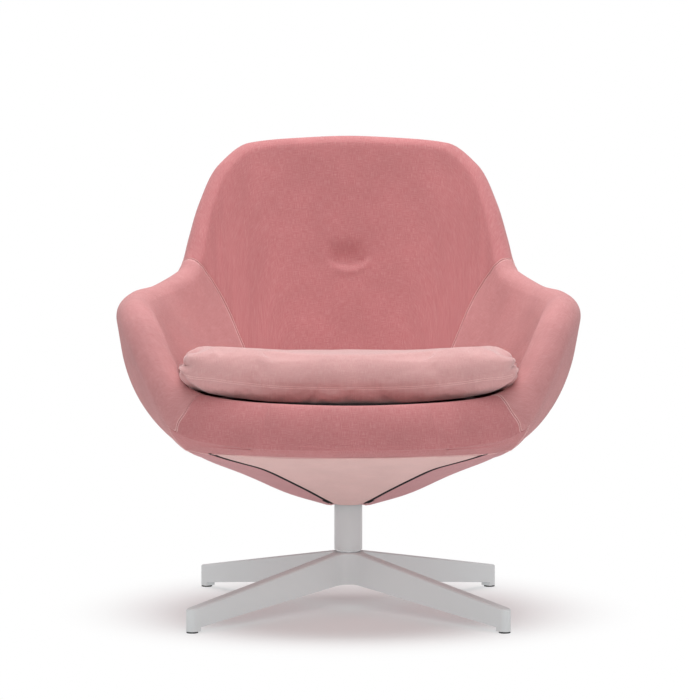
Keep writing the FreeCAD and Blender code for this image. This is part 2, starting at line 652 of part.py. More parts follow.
def build_base():
    """Cast star base with its four glides."""
    reach = FOOT_HALF_SPACING * math.sqrt(2)
    half = LEG_WIDTH / 2
    feet = [(x, y) for x, y in on_circle(reach, 4, 45.0)]
    star = rod(half, 0, HUB_TOP)
    for number, foot in enumerate(feet):
        beam = Part.makeBox(reach, LEG_WIDTH, HUB_TOP, FreeCAD.Vector(0, -half, 0))
        beam.rotate(ORIGIN, UP, 45 + 90 * number)
        star = star.fuse([beam, rod(half, 0, HUB_TOP, foot)])
    star = star.removeSplitter()
    crotch = half * math.sqrt(2)
    corners = [edge for edge in star.Edges if abs(math.hypot(*edge.CenterOfMass[:2]) - crotch) < FIT]
    star = star.makeFillet(LEG_FILLET, corners)
    end = reach + LEG_WIDTH
    heel = reach - half
    over = [(HUB_FLAT_RADIUS, HUB_TOP), (end, LEG_END_TOP), (end, 0)]
    under = [(HUB_FLAT_RADIUS, HUB_BOTTOM), (heel, LEG_END_BOTTOM), (heel, GLIDE_THICKNESS)]
    under += [(end, GLIDE_THICKNESS), (end, -HUB_TOP)]
    star = star.common(along_legs(over, 45)).common(along_legs(over, 135))
    star = star.cut(along_legs(under, 45).common(along_legs(under, 135)))
    slope = (HUB_TOP - LEG_END_TOP) / (end - HUB_FLAT_RADIUS)
    rims = []
    for edge in star.Edges:
        middle = edge.valueAt((edge.FirstParameter + edge.LastParameter) / 2)
        along = max(abs(middle.x + middle.y), abs(middle.x - middle.y)) / math.sqrt(2)
        top = HUB_TOP - slope * max(0.0, along - HUB_FLAT_RADIUS)
        beside = [face.normalAt(0, 0).z for face in star.ancestorsOfType(edge, Part.Face)]
        if abs(middle.z - top) < FIT and min(abs(z) for z in beside) < FIT:
            rims.append(edge)
    star = star.makeChamfer(LEG_EDGE_BEVEL, rims)

    seat = HUB_BOTTOM + BOLT_HEAD + BOLT_WASHER
    star = star.cut(rod(BOLT_RECESS_RADIUS, HUB_BOTTOM, seat))
    star = star.cut(rod(BOLT_RADIUS + SEATING, seat, seat + HUB_FLOOR))
    star = star.cut(rod(SPINDLE_RADIUS + FIT, seat + HUB_FLOOR, HUB_TOP))
    stem_top = GLIDE_THICKNESS + GLIDE_STEM_LENGTH
    for corner, foot in zip(("rear_left", "rear_right", "front_right", "front_left"), feet):
        star = star.cut(rod(GLIDE_STEM_RADIUS + FIT, GLIDE_THICKNESS, stem_top + SEATING, foot))
        pad = rod(GLIDE_RADIUS, 0, GLIDE_THICKNESS, foot)
        save(pad.fuse(rod(GLIDE_STEM_RADIUS, GLIDE_THICKNESS, stem_top, foot)), "glide_" + corner)
    save(star, "star_base")


os.makedirs(PARTS, exist_ok=True)
build_base()
build_swivel()
build_column()
build_frame()
build_upholstery()
build_cushion()
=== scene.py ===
"""Looks of a pedestal swivel armchair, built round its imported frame.

Metres, +Z up; the chair faces -Y and swivels about the Z axis. The bucket's upholstery is drawn in
upright half planes through that axis, whose azimuth runs from 0 at the front past the arm at 90 to
180 at the back, like the construction it covers.
"""

import logging
import math
from dataclasses import dataclass, field
from enum import Enum
from typing import Callable, ClassVar, Sequence

import bpy
import numpy as np
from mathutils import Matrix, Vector


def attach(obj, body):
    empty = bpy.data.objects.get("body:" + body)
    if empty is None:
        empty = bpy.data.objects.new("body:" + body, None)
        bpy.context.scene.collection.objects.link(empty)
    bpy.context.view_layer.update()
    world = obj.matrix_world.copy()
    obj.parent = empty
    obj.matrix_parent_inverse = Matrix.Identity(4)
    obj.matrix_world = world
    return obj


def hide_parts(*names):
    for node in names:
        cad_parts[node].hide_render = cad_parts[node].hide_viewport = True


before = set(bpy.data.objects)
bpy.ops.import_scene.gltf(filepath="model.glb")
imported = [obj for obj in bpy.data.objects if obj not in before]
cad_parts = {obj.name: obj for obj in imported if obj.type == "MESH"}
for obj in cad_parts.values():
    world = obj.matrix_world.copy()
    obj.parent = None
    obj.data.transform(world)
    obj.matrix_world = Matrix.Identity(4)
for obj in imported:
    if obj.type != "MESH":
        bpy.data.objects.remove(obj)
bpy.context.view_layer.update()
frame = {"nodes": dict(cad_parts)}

LOG = logging.getLogger("armchair")
MM = 0.001
CLOTH_MAP = "cloth"
CLOUD_RANGE = (0.3, 0.7)
TOP_COURSE = 6.0
NORMAL_TURN = 0.2
NORMAL_COURSE = 0.02
Array = np.ndarray
Edge = Callable[[Array], Array]
Feed = bpy.types.NodeSocket | float | tuple


class Side(Enum):
    """The sitter's side of a handed piece, with the sign of its X."""

    LEFT = 1
    RIGHT = -1

    @property
    def word(self) -> str:
        """Ending of the piece's name."""
        return self.name.lower()


class Body(Enum):
    """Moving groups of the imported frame."""

    BASE = "base"
    SEAT = "seat"
    CUSHION = "cushion"


def degrees_direction(degrees: Array) -> Array:
    """Unit vectors in a section plane: 0 points outwards and 90 points up."""
    turn = np.radians(degrees)
    return np.stack([np.cos(turn), np.sin(turn)], -1)


def quarter_turn(vectors: Array) -> Array:
    """Vectors of a section plane turned anticlockwise by 90 degrees."""
    return np.stack([-vectors[..., 1], vectors[..., 0]], -1)


def unit(vectors: Array) -> Array:
    """Vectors scaled to a length of one."""
    return vectors / np.maximum(np.linalg.norm(vectors, axis=-1, keepdims=True), 1e-12)


def smooth_step(low: float, high: float, value: Array) -> Array:
    """Smooth rise from 0 at low to 1 at high."""
    t = np.clip((value - low) / (high - low), 0.0, 1.0)
    return t * t * (3 - 2 * t)


def bump(value: Array, centre: float, width: float) -> Array:
    """Bell curve of height one."""
    return np.exp(-(((value - centre) / width) ** 2))


def through_points(knots: Sequence[float], values: Sequence[float], where: Array) -> Array:
    """Smooth curve through a table that never overshoots it.

    Args:
        knots: rising places of the table.
        values: value at each knot.
        where: places to read, clamped to the table.

    Returns:
        The curve's value at each place.
    """
    xs = np.asarray(knots, float)
    ys = np.asarray(values, float)
    widths = np.diff(xs)
    rates = np.diff(ys) / widths
    slopes = np.zeros(len(xs))
    for i in range(1, len(xs) - 1):
        if rates[i - 1] * rates[i] > 0:
            heavy = 2 * widths[i] + widths[i - 1]
            light = widths[i] + 2 * widths[i - 1]
            slopes[i] = (heavy + light) / (heavy / rates[i - 1] + light / rates[i])
    where = np.clip(where, xs[0], xs[-1])
    i = np.clip(np.searchsorted(xs, where, side="right") - 1, 0, len(widths) - 1)
    t = (where - xs[i]) / widths[i]
    ends = ys[i] * (1 + 2 * t) * (1 - t) ** 2 + ys[i + 1] * t * t * (3 - 2 * t)
    return ends + widths[i] * (slopes[i] * t * (1 - t) ** 2 - slopes[i + 1] * t * t * (1 - t))


def arc_through(start: Array, middle: Array, end: Array, share: Array) -> Array:
    """Points on circle arcs through three points each, at a share of the way along.

    Args:
        start: first points of the arcs, in a section plane.
        middle: points that the arcs pass.
        end: last points of the arcs.
        share: how far along each arc, from 0 to 1.

    Returns:
        One point per arc.
    """
    a, b, c = (p[..., 0] + 1j * p[..., 1] for p in (start, middle, end))
    w = (c - a) / np.where(b == a, 1e-12, b - a)
    flat = np.abs(w.imag) < 1e-9
    safe = np.where(flat, 1.0, w.imag)
    centre = a + (b - a) * (w - np.abs(w) ** 2) / (2j * safe)
    first = np.angle(a - centre)
    to_middle = np.mod(np.angle(b - centre) - first, 2 * math.pi)
    to_end = np.mod(np.angle(c - centre) - first, 2 * math.pi)
    sweep = np.where(to_middle > to_end, to_end - 2 * math.pi, to_end)
    point = centre + np.abs(a - centre) * np.exp(1j * (first + sweep * share))
    point = np.where(flat, a + (c - a) * share, point)
    return np.stack([point.real, point.imag], -1)


@dataclass(frozen=True)
class BucketForm:
    """The bucket's skin as a surface over azimuth (degrees) and course.

    The course runs from 0 at the collar: 0 to 1 along the underside, 1 to 2 round the bilge, 2 to 3
    up the outside, 3 to 4 over the outer half of the rim, 4 to 5 over its inner half, and 5 to 6
    down the inside to the deck. Table values are in millimetres, as on a drawing.
    """

    station: tuple = (0, 24, 38, 47, 52, 58, 66, 76, 90, 106, 122, 127, 132, 138, 145, 153, 165, 180)
    rim_radius: tuple = (356, 358, 364, 372, 376, 379, 380, 378, 364, 352, 351, 358, 373, 392, 407, 404,
                         378, 361)
    rim_height: tuple = (380, 382, 387, 401, 428, 472, 518, 543, 550, 555, 575, 600, 643, 701, 761, 798,
                         807, 811)
    rim_lean: tuple = (3, 3, 5, 10, 11, 12, 12, 11, 12, 14, 18, 19, 20, 20, 20, 20, 19, 18)
    nose_out: tuple = (22, 22, 24, 26, 27, 29, 30, 29, 28, 27, 26, 25, 24, 23, 23, 23, 23, 23)
    nose_in: tuple = (26, 26, 28, 30, 33, 36, 38, 38, 34, 30, 26, 25, 24, 23, 23, 23, 23, 23)
    drop_out: tuple = (68, 69, 68, 66, 66, 62, 50, 40, 36, 34, 35, 36, 36, 34, 30, 27, 26, 26)
    drop_in: tuple = (8, 8, 12, 22, 33, 44, 46, 42, 38, 34, 35, 36, 36, 34, 30, 27, 26, 26)
    bilge_radius: tuple = (372, 372, 371, 371, 371, 371, 368, 365, 362, 338, 305, 293, 283, 272, 262, 256,
                           252, 250)
    bilge_arc: tuple = (10, 10, 30, 90, 130, 175, 215, 235, 240, 190, 110, 90, 75, 60, 50, 50, 50, 50)
    foot_radius: tuple = (300, 301, 306, 314, 317, 312, 300, 284, 268, 240, 212, 205, 198, 190, 184, 178,
                          173, 170)
    collar_radius: float = 24.6
    collar_height: float = 177.0
    cone_slope: float = 21.0
    deck_height: float = 362.0
    deck_tilt: float = 3.5
    deck_sink: float = 3.6
    wall_sag: float = 0.045
    bilge_share: float = 0.94
    soften: float = 0.09
    soften_arm: float = 0.2
    arm_begins: tuple = (44, 58)
    arm_ends: tuple = (104, 126)
    nose_begins: tuple = (2.7, 3.8)
    side_begins: tuple = (45, 80)
    underside_ends: tuple = (1.0, 2.2)
    funnel: tuple = (6.0, 318, 50)
    belly: tuple = (6.0, 305, 40)
    waist: tuple = (7.0, 108, 60)

    def read(self, name: str, azimuth: Array) -> Array:
        """Value of one table at an azimuth, the same left and right."""
        turn = np.abs(np.mod(azimuth + 180.0, 360.0) - 180.0)
        return through_points(self.station, getattr(self, name), turn)

    def outline(self, azimuth: Array, course: Array) -> Array:
        """Radius and height, in millimetres, before the corners are softened.

        Args:
            azimuth: azimuths in degrees.
            course: courses, one per azimuth.

        Returns:
            One pair per place.
        """
        lean = degrees_direction(90 - self.read("rim_lean", azimuth))
        across = -quarter_turn(lean)
        drop_out, drop_in, nose_out, nose_in = (
            self.read(name, azimuth)[..., None] for name in ("drop_out", "drop_in", "nose_out", "nose_in")
        )
        tip = np.stack([self.read("rim_radius", azimuth), self.read("rim_height", azimuth)], -1)
        diagonal = math.sqrt(0.5)
        outer_centre = tip - lean * drop_out
        inner_centre = tip - lean * drop_in
        nose_start = outer_centre + across * nose_out
        nose_outer = outer_centre + (lean * drop_out + across * nose_out) * diagonal
        nose_inner = inner_centre + (lean * drop_in - across * nose_in) * diagonal
        nose_end = inner_centre - across * nose_in
        foot_radius = self.read("foot_radius", azimuth)
        rise = math.tan(math.radians(self.deck_tilt)) * foot_radius * np.cos(np.radians(azimuth))
        foot = np.stack([foot_radius, self.deck_height - self.deck_sink + rise], -1)

        corner_radius = self.read("bilge_radius", azimuth)
        run = corner_radius - self.collar_radius
        corner_height = self.collar_height + run * math.tan(math.radians(self.cone_slope))
        corner = np.stack([corner_radius, corner_height], -1)
        arc = self.read("bilge_arc", azimuth)[..., None]
        below = np.broadcast_to(degrees_direction(np.array(self.cone_slope)), corner.shape)
        above = unit(nose_start - corner)
        turn = np.arccos(np.clip((below * above).sum(-1, keepdims=True), -1, 1))
        room = np.linalg.norm(nose_start - corner, axis=-1, keepdims=True)
        arc = np.minimum(arc, self.bilge_share * room / np.tan(turn / 2))
        bilge_start = corner - below * arc * np.tan(turn / 2)
        centre = bilge_start + quarter_turn(below) * arc
        bilge_middle = centre + unit(corner - centre) * arc
        bilge_end = centre - quarter_turn(above) * arc
        collar = np.broadcast_to(np.array([self.collar_radius, self.collar_height]), corner.shape)
        middle = (nose_end + foot) / 2
        sag = np.linalg.norm(nose_end - foot, axis=-1, keepdims=True) * self.wall_sag
        sagged = middle + quarter_turn(unit(foot - nose_end)) * sag

        part = np.clip(np.floor(course), 0, TOP_COURSE - 1).astype(int)
        share = course - part
        way = share[..., None]
        pieces = [
            collar * (1 - way) + bilge_start * way,
            arc_through(bilge_start, bilge_middle, bilge_end, share),
            bilge_end * (1 - way) + nose_start * way,
            arc_through(nose_start, nose_outer, tip, share),
            arc_through(tip, nose_inner, nose_end, share),
            arc_through(nose_end, sagged, foot, share),
        ]
        return np.choose(part[..., None], pieces)

    def section(self, azimuth: Array, course: Array) -> Array:
        """Radius and height of the padded skin, with softened corners and the underside's funnel.

        Args:
            azimuth: azimuths in degrees.
            course: courses, one per azimuth.

        Returns:
            One pair per place, in millimetres.
        """
        turn = np.abs(np.mod(azimuth + 180.0, 360.0) - 180.0)
        arm = smooth_step(*self.arm_begins, turn) * (1 - smooth_step(*self.arm_ends, turn))
        reach = self.soften + self.soften_arm * arm * smooth_step(*self.nose_begins, course)
        total = np.zeros(np.shape(course) + (2,))
        for step, weight in zip((-2, -1, 0, 1, 2), (1, 4, 6, 4, 1)):
            moved = np.clip(course + step * reach, 0.0, TOP_COURSE)
            total += self.outline(azimuth, moved) * (weight / 16)
        radius = total[..., 0]
        side = smooth_step(*self.side_begins, turn)
        under = 1 - smooth_step(*self.underside_ends, course)
        sinks = (self.funnel, self.belly, self.waist)
        funnel, belly, waist = (depth * bump(radius, centre, width) for depth, centre, width in sinks)
        total[..., 1] += ((belly - waist) * side - funnel * (1 - side)) * under
        return total

    def point(self, azimuth: Array, course: Array) -> Array:
        """Points of the skin in space, in metres.

        Args:
            azimuth: azimuths in degrees.
            course: courses, one per azimuth.

        Returns:
            One point per place.
        """
        flat = self.section(azimuth, course)
        turn = np.radians(azimuth)
        place = np.stack([flat[..., 0] * np.sin(turn), -flat[..., 0] * np.cos(turn), flat[..., 1]], -1)
        return place * MM

    def normal(self, azimuth: Array, course: Array) -> Array:
        """Outward unit normals of the skin.

        Args:
            azimuth: azimuths in degrees.
            course: courses, one per azimuth.

        Returns:
            One unit vector per place.
        """
        along = self.point(azimuth + NORMAL_TURN, course) - self.point(azimuth - NORMAL_TURN, course)
        above = self.point(azimuth, np.minimum(course + NORMAL_COURSE, TOP_COURSE))
        below = self.point(azimuth, np.maximum(course - NORMAL_COURSE, 0.0))
        return unit(np.cross(along, above - below))


@dataclass(frozen=True)
class SeamPlan:
    """Where the covers of the bucket meet, as curves over the form."""

    rim_azimuths: tuple = (0, 40, 51, 60, 68, 76, 80, 83, 86, 90, 100, 120, 140, 180)
    rim_courses: tuple = (0.90, 0.90, 1.05, 1.22, 1.32, 1.42, 1.55, 1.85, 2.4, 2.75, 3.0, 3.1, 3.2, 3.2)
    back_courses: tuple = (0, 3.0, 3.6, 4.2, 4.7, 5.0, 5.2, 5.35, 5.5, 6.0)
    back_azimuths: tuple = (124, 125, 125.6, 126, 126.6, 128, 130.6, 132.5, 133.5, 134)
    mitre_courses: tuple = (0, 1.0, 1.6, 2.5, 3.2, 3.6, 4.0, 6.0)
    mitre_azimuths: tuple = (53, 53, 51, 48, 45.5, 43, 42, 40)
    tucked_course: float = 0.06

    def rim(self, azimuth: Array) -> Array:
        """Course of the seam that runs all round the outside of the bucket."""
        turn = np.abs(np.mod(azimuth + 180.0, 360.0) - 180.0)
        return through_points(self.rim_azimuths, self.rim_courses, turn)

    def under_rim(self, azimuth: Array) -> Array:
        """Course at which the lower covers end, tucked behind the rim seam."""
        return self.rim(azimuth) + self.tucked_course

    def back(self, course: Array) -> Array:
        """Azimuth of the seam between arm and back."""
        return through_points(self.back_courses, self.back_azimuths, course)

    def mitre(self, course: Array) -> Array:
        """Azimuth of the seam between apron and arm."""
        return through_points(self.mitre_courses, self.mitre_azimuths, course)


class NodeBuilder:
    """Short way of adding and joining shader nodes in one tree."""

    def __init__(self, tree: bpy.types.NodeTree) -> None:
        """Keep the tree that nodes are added to."""
        self.tree = tree

    def add(self, kind: str, inputs: dict | None = None, **settings: object) -> bpy.types.Node:
        """Add a node.

        Args:
            kind: type name of the node.
            inputs: socket name or number to a value or to another node's output.
            settings: attributes of the node.

        Returns:
            The new node.
        """
        node = self.tree.nodes.new(kind)
        for name, value in settings.items():
            setattr(node, name, value)
        for key, value in (inputs or {}).items():
            self.feed(node, key, value)
        return node

    def feed(self, node: bpy.types.Node, key: str | int, value: Feed) -> None:
        """Link an output to a node's input, or set the input to a value.

        Args:
            node: node that is fed.
            key: name or number of its input.
            value: another node's output, or a value.
        """
        if isinstance(value, bpy.types.NodeSocket):
            self.tree.links.new(value, node.inputs[key])
        else:
            node.inputs[key].default_value = value

    def maths(
        self, operation: str, first: Feed, second: Feed = 0.0, third: Feed = 0.5
    ) -> bpy.types.NodeSocket:
        """Output of a math node."""
        return self.add("ShaderNodeMath", {0: first, 1: second, 2: third}, operation=operation).outputs[0]

    def vectors(self, operation: str, first: Feed, second: Feed = (0.0, 0.0, 0.0)) -> bpy.types.NodeSocket:
        """Vector output of a vector math node."""
        return self.add("ShaderNodeVectorMath", {0: first, 1: second}, operation=operation).outputs[0]

    def spread(
        self, value: Feed, low: float, high: float, first: Feed = 0.0, last: Feed = 1.0
    ) -> bpy.types.NodeSocket:
        """A value that runs from first at low to last at high."""
        return self.add("ShaderNodeMapRange", {0: value, 1: low, 2: high, 3: first, 4: last}).outputs[0]

    def noise(
        self, vector: Feed, scale: float, detail: float = 2.0, roughness: float = 0.5
    ) -> bpy.types.NodeSocket:
        """Value of a noise texture at a place."""
        values = {"Vector": vector, "Scale": scale, "Detail": detail, "Roughness": roughness}
        return self.add("ShaderNodeTexNoise", values).outputs[0]

    def mix_colours(self, factor: Feed, first: Feed, second: Feed) -> bpy.types.NodeSocket:
        """Colour mixed from two.

        Args:
            factor: 0 for the first colour, 1 for the second.
            first: first colour.
            second: second colour.

        Returns:
            Output of the mix node.
        """
        node = self.add("ShaderNodeMix", data_type="RGBA")
        for key, value in ((0, factor), (6, first), (7, second)):
            self.feed(node, key, value)
        return node.outputs[2]


def new_material(name: str) -> tuple[bpy.types.Material, NodeBuilder, bpy.types.Node]:
    """Material with nodes.

    Args:
        name: name of the finish.

    Returns:
        The material, a builder for its nodes and its shader.
    """
    material = bpy.data.materials.new(name)
    material.use_nodes = True
    tree = material.node_tree
    return material, NodeBuilder(tree), tree.nodes["Principled BSDF"]


@dataclass(frozen=True)
class Weave:
    """Plain linen-like weave with slubs and flecks, shared by every cloth."""

    drift_scale: float = 900.0
    drift: float = 0.00055
    slub_long: float = 70.0
    slub_fine: float = 1500.0
    slub_roughness: float = 0.6
    fleck_range: tuple = (0.44, 0.70)
    fleck_rise: float = 0.8
    grain_scale: float = 2600.0
    grain_shade: tuple = (0.30, 0.85)
    cloud_scale: float = 14.0
    cloud_shade: tuple = (0.95, 1.05)
    crossing_shade: tuple = (0.90, 1.08)

    def make(self) -> bpy.types.NodeTree:
        """Node group of the weave.

        Returns:
            Group with Vector, Pitch, Contrast, Yarn and Fleck inputs, and Color and Height outputs.
        """
        group = bpy.data.node_groups.new("woven_cloth", "ShaderNodeTree")
        given_sockets = (("Vector", "Vector"), ("Pitch", "Float"), ("Contrast", "Float"), ("Yarn", "Color"),
                         ("Fleck", "Color"))
        for name, kind in given_sockets:
            group.interface.new_socket(name, in_out="INPUT", socket_type="NodeSocket" + kind)
        for name, kind in (("Color", "Color"), ("Height", "Float")):
            group.interface.new_socket(name, in_out="OUTPUT", socket_type="NodeSocket" + kind)
        build = NodeBuilder(group)
        given = build.add("NodeGroupInput")
        place = given.outputs["Vector"]

        values = {"Vector": place, "Scale": self.drift_scale, "Detail": 1.0}
        drift = build.add("ShaderNodeTexNoise", values).outputs[1]
        sway = build.vectors("SUBTRACT", drift, (0.5, 0.5, 0.5))
        bent = build.add("ShaderNodeVectorMath", {0: sway, 1: (self.drift, self.drift, 0.0), 2: place},
                         operation="MULTIPLY_ADD").outputs[0]
        split = build.add("ShaderNodeSeparateXYZ", {0: bent})
        waves = []
        for axis in (0, 1):
            turns = build.maths("DIVIDE", split.outputs[axis], given.outputs["Pitch"])
            waves.append(build.maths("SINE", build.maths("MULTIPLY", turns, 2 * math.pi)))
        over = build.maths("MULTIPLY", waves[0], waves[1])
        height = build.maths("MULTIPLY_ADD", over, 0.5, 0.5)

        slubs = []
        for stretch in ((self.slub_long, self.slub_fine, 1.0), (self.slub_fine, self.slub_long, 1.0)):
            stretched = build.vectors("MULTIPLY", place, stretch)
            slubs.append(build.noise(stretched, 1.0, 2.0, self.slub_roughness))
        both = build.maths("MULTIPLY", build.maths("ADD", slubs[0], slubs[1]), 0.5)
        fleck = build.spread(both, *self.fleck_range)
        flecked = build.maths("MULTIPLY", fleck, given.outputs["Contrast"])
        base = build.mix_colours(flecked, given.outputs["Yarn"], given.outputs["Fleck"])

        cloud = build.noise(place, self.cloud_scale)
        shade = build.maths("MULTIPLY_ADD", build.noise(place, self.grain_scale, 1.0), *self.grain_shade)
        shade = build.maths("MULTIPLY", shade, build.spread(cloud, *CLOUD_RANGE, *self.cloud_shade))
        shade = build.maths("MULTIPLY", shade, build.spread(over, -1.0, 1.0, *self.crossing_shade))
        tinted = build.add("ShaderNodeVectorMath", {0: base, 3: shade}, operation="SCALE").outputs[0]
        rise = build.maths("ADD", height, build.maths("MULTIPLY", fleck, self.fleck_rise))
        build.add("NodeGroupOutput", {"Color": tinted, "Height": rise})
        return group


@dataclass(frozen=True)
class Cloth:
    """Woven upholstery cloth in one colour."""

    name: str
    yarn: tuple
    fleck: tuple
    pitch: float = 0.0011
    contrast: float = 0.42
    sheen: float = 0.25
    sheen_tint: tuple = (1.0, 0.86, 0.85, 1.0)
    bump: float = 0.35
    relief: float = 0.0004
    roughness: float = 0.88
    specular: float = 0.18
    sheen_roughness: float = 0.45
    uv_map: str | None = CLOTH_MAP

    def make(self, group: bpy.types.NodeTree) -> bpy.types.Material:
        """Material that reads the cloth's own map, or object space where it has none.

        Args:
            group: the shared weave.

        Returns:
            The material.
        """
        material, build, shader = new_material(self.name)
        if self.uv_map:
            place = build.add("ShaderNodeUVMap", uv_map=self.uv_map).outputs[0]
        else:
            place = build.add("ShaderNodeTexCoord").outputs["Object"]
        weave = build.add("ShaderNodeGroup", node_tree=group)
        given = {"Vector": place, "Pitch": self.pitch, "Contrast": self.contrast, "Yarn": self.yarn,
                 "Fleck": self.fleck}
        for name, value in given.items():
            build.feed(weave, name, value)
        build.feed(shader, "Base Color", weave.outputs["Color"])
        values = {"Strength": self.bump, "Distance": self.relief, "Height": weave.outputs["Height"]}
        build.feed(shader, "Normal", build.add("ShaderNodeBump", values).outputs[0])
        shader.inputs["Roughness"].default_value = self.roughness
        shader.inputs["Specular IOR Level"].default_value = self.specular
        shader.inputs["Sheen Weight"].default_value = self.sheen
        shader.inputs["Sheen Roughness"].default_value = self.sheen_roughness
        shader.inputs["Sheen Tint"].default_value = self.sheen_tint
        return material


@dataclass(frozen=True)
class Thread:
    """Twisted sewing thread."""

    name: str
    colour: tuple

    def make(self) -> bpy.types.Material:
        """Material with a fine ply across each stitch.

        Returns:
            The material.
        """
        material, build, shader = new_material(self.name)
        place = build.add("ShaderNodeTexCoord").outputs["Object"]
        ply = build.noise(place, 2400.0, 1.0)
        pale = tuple(min(1.0, c * 1.25) for c in self.colour[:3]) + (1.0,)
        build.feed(shader, "Base Color", build.mix_colours(ply, self.colour, pale))
        shader.inputs["Roughness"].default_value = 0.6
        shader.inputs["Sheen Weight"].default_value = 0.3
        return material


@dataclass(frozen=True)
class Hard:
    """Painted, moulded or bare metal finish with a fine grain, its colour lighter along sharp edges."""

    name: str
    colour: tuple
    roughness: float
    metallic: float = 0.0
    grain: float = 700.0
    relief: float = 0.08
    edge: float = 1.12
    edge_range: tuple = (0.515, 0.56)
    mottle_scale: float = 9.0
    mottle_shade: float = 0.96

    def make(self) -> bpy.types.Material:
        """Material in object space.

        Returns:
            The material.
        """
        material, build, shader = new_material(self.name)
        place = build.add("ShaderNodeTexCoord").outputs["Object"]
        peel = build.noise(place, self.grain, 2.0)
        mottle = build.noise(place, self.mottle_scale, 3.0)
        # Colour made lighter along sharp convex edges, read from the mesh's pointiness.
        edge_sharpness = build.add("ShaderNodeNewGeometry").outputs["Pointiness"]
        edge_lightening = build.spread(edge_sharpness, *self.edge_range)
        bright = tuple(min(1.0, c * self.edge) for c in self.colour[:3]) + (1.0,)
        low = tuple(c * self.mottle_shade for c in self.colour[:3]) + (1.0,)
        plain = build.mix_colours(mottle, low, self.colour)
        build.feed(shader, "Base Color", build.mix_colours(edge_lightening, plain, bright))
        rough = build.spread(mottle, *CLOUD_RANGE, self.roughness * 0.9, min(1.0, self.roughness * 1.1))
        build.feed(shader, "Roughness", rough)
        raised = build.add("ShaderNodeBump", {"Strength": self.relief, "Distance": 0.0003, "Height": peel})
        build.feed(shader, "Normal", raised.outputs[0])
        shader.inputs["Metallic"].default_value = self.metallic
        return material


@dataclass
class Wardrobe:
    """All the finishes of the chair, made once."""

    materials: dict[str, bpy.types.Material] = field(default_factory=dict)

    def fill(self) -> None:
        """Make every cloth, thread and hard finish."""
        group = Weave().make()
        pink = (0.500, 0.172, 0.180, 1.0)
        light = (0.770, 0.470, 0.450, 1.0)
        cloths = (
            Cloth("pink_cloth", pink, light),
            # Lighter copy of the same pink cloth for the arm covers: painted light from the top lamp on the
            # arms.
            Cloth("pink_cloth_arm", (0.530, 0.224, 0.228, 1.0), (0.80, 0.50, 0.48, 1.0), sheen=0.2),
            # Paler copy of the same pink cloth for the outer covers: painted bounce light from the floor on
            # the lower outside.
            Cloth("pink_cloth_outer", (0.560, 0.250, 0.265, 1.0), (0.80, 0.52, 0.52, 1.0), sheen=0.2),
            # Much paler copy of the same pink cloth for the front underside: painted bounce light from the
            # white floor.
            Cloth("pink_cloth_light", (0.760, 0.480, 0.455, 1.0), (0.88, 0.74, 0.70, 1.0), sheen=0.2),
            # Paler copy of the same pink cloth for the cushion: painted top light on its upper face.
            Cloth("pink_cloth_cushion", (0.640, 0.330, 0.325, 1.0), (0.84, 0.60, 0.58, 1.0), sheen=0.8),
            # Near-black deck: a real lining whose dark colour also paints the shade in the gap round the
            # cushion.
            Cloth("deck_cloth", (0.035, 0.030, 0.032, 1.0), (0.07, 0.06, 0.06, 1.0), uv_map=None, sheen=0.1),
            Cloth("zip_tape", (0.012, 0.012, 0.014, 1.0), (0.03, 0.03, 0.03, 1.0), pitch=0.0006, uv_map=None,
                  sheen=0.05),
        )
        for cloth in cloths:
            self.materials[cloth.name] = cloth.make(group)
        self.materials["thread"] = Thread("thread", (0.84, 0.54, 0.52, 1.0)).make()
        hards = (
            Hard("powder_coat", (0.545, 0.562, 0.566, 1.0), 0.42, grain=1400.0, relief=0.06, edge=1.25),
            Hard("glide_plastic", (0.012, 0.012, 0.013, 1.0), 0.5),
            Hard("zip_plastic", (0.008, 0.008, 0.009, 1.0), 0.7),
            Hard("turned_steel", (0.55, 0.55, 0.56, 1.0), 0.25, 1.0, 300.0, 0.04),
            Hard("zinc_steel", (0.50, 0.50, 0.47, 1.0), 0.38, 1.0, 200.0, 0.05),
            Hard("frame_steel", (0.05, 0.05, 0.055, 1.0), 0.5, 0.0, 900.0, 0.06),
            Hard("bearing_nylon", (0.62, 0.60, 0.54, 1.0), 0.5),
            Hard("twine", (0.35, 0.28, 0.20, 1.0), 0.8, grain=1800.0, relief=0.3),
        )
        for hard in hards:
            self.materials[hard.name] = hard.make()

    def get(self, name: str) -> bpy.types.Material:
        """One finish by name."""
        return self.materials[name]

    def dress(self, node: bpy.types.Object, name: str) -> None:
        """Give every slot of a node one finish.

        Args:
            node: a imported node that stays.
            name: name of the finish.
        """
        slots = node.material_slots
        if len(slots) == 0:
            node.data.materials.append(self.get(name))
        for slot in slots:
            slot.link = "OBJECT"
            slot.material = self.get(name)


def add_cloth_map(mesh: bpy.types.Mesh, uvs: Array) -> None:
    """Give a mesh its cloth map, from one pair in metres per vertex.

    Args:
        mesh: mesh without a map.
        uvs: one pair per vertex.
    """
    layer = mesh.uv_layers.new(name=CLOTH_MAP)
    index = np.empty(len(mesh.loops), dtype=np.int32)
    mesh.loops.foreach_get("vertex_index", index)
    layer.data.foreach_set("uv", np.ascontiguousarray(uvs[index], dtype=np.float32).ravel())


def shade_smooth(mesh: bpy.types.Mesh) -> None:
    """Shade every face of a mesh smooth."""
    mesh.polygons.foreach_set("use_smooth", np.ones(len(mesh.polygons), dtype=bool))


def vertex_places(mesh: bpy.types.Mesh) -> Array:
    """Places of a mesh's vertices, as an N by 3 array.

    Args:
        mesh: any mesh.

    Returns:
        The places, in metres.
    """
    flat = np.empty(len(mesh.vertices) * 3)
    mesh.vertices.foreach_get("co", flat)
    return flat.reshape(-1, 3)


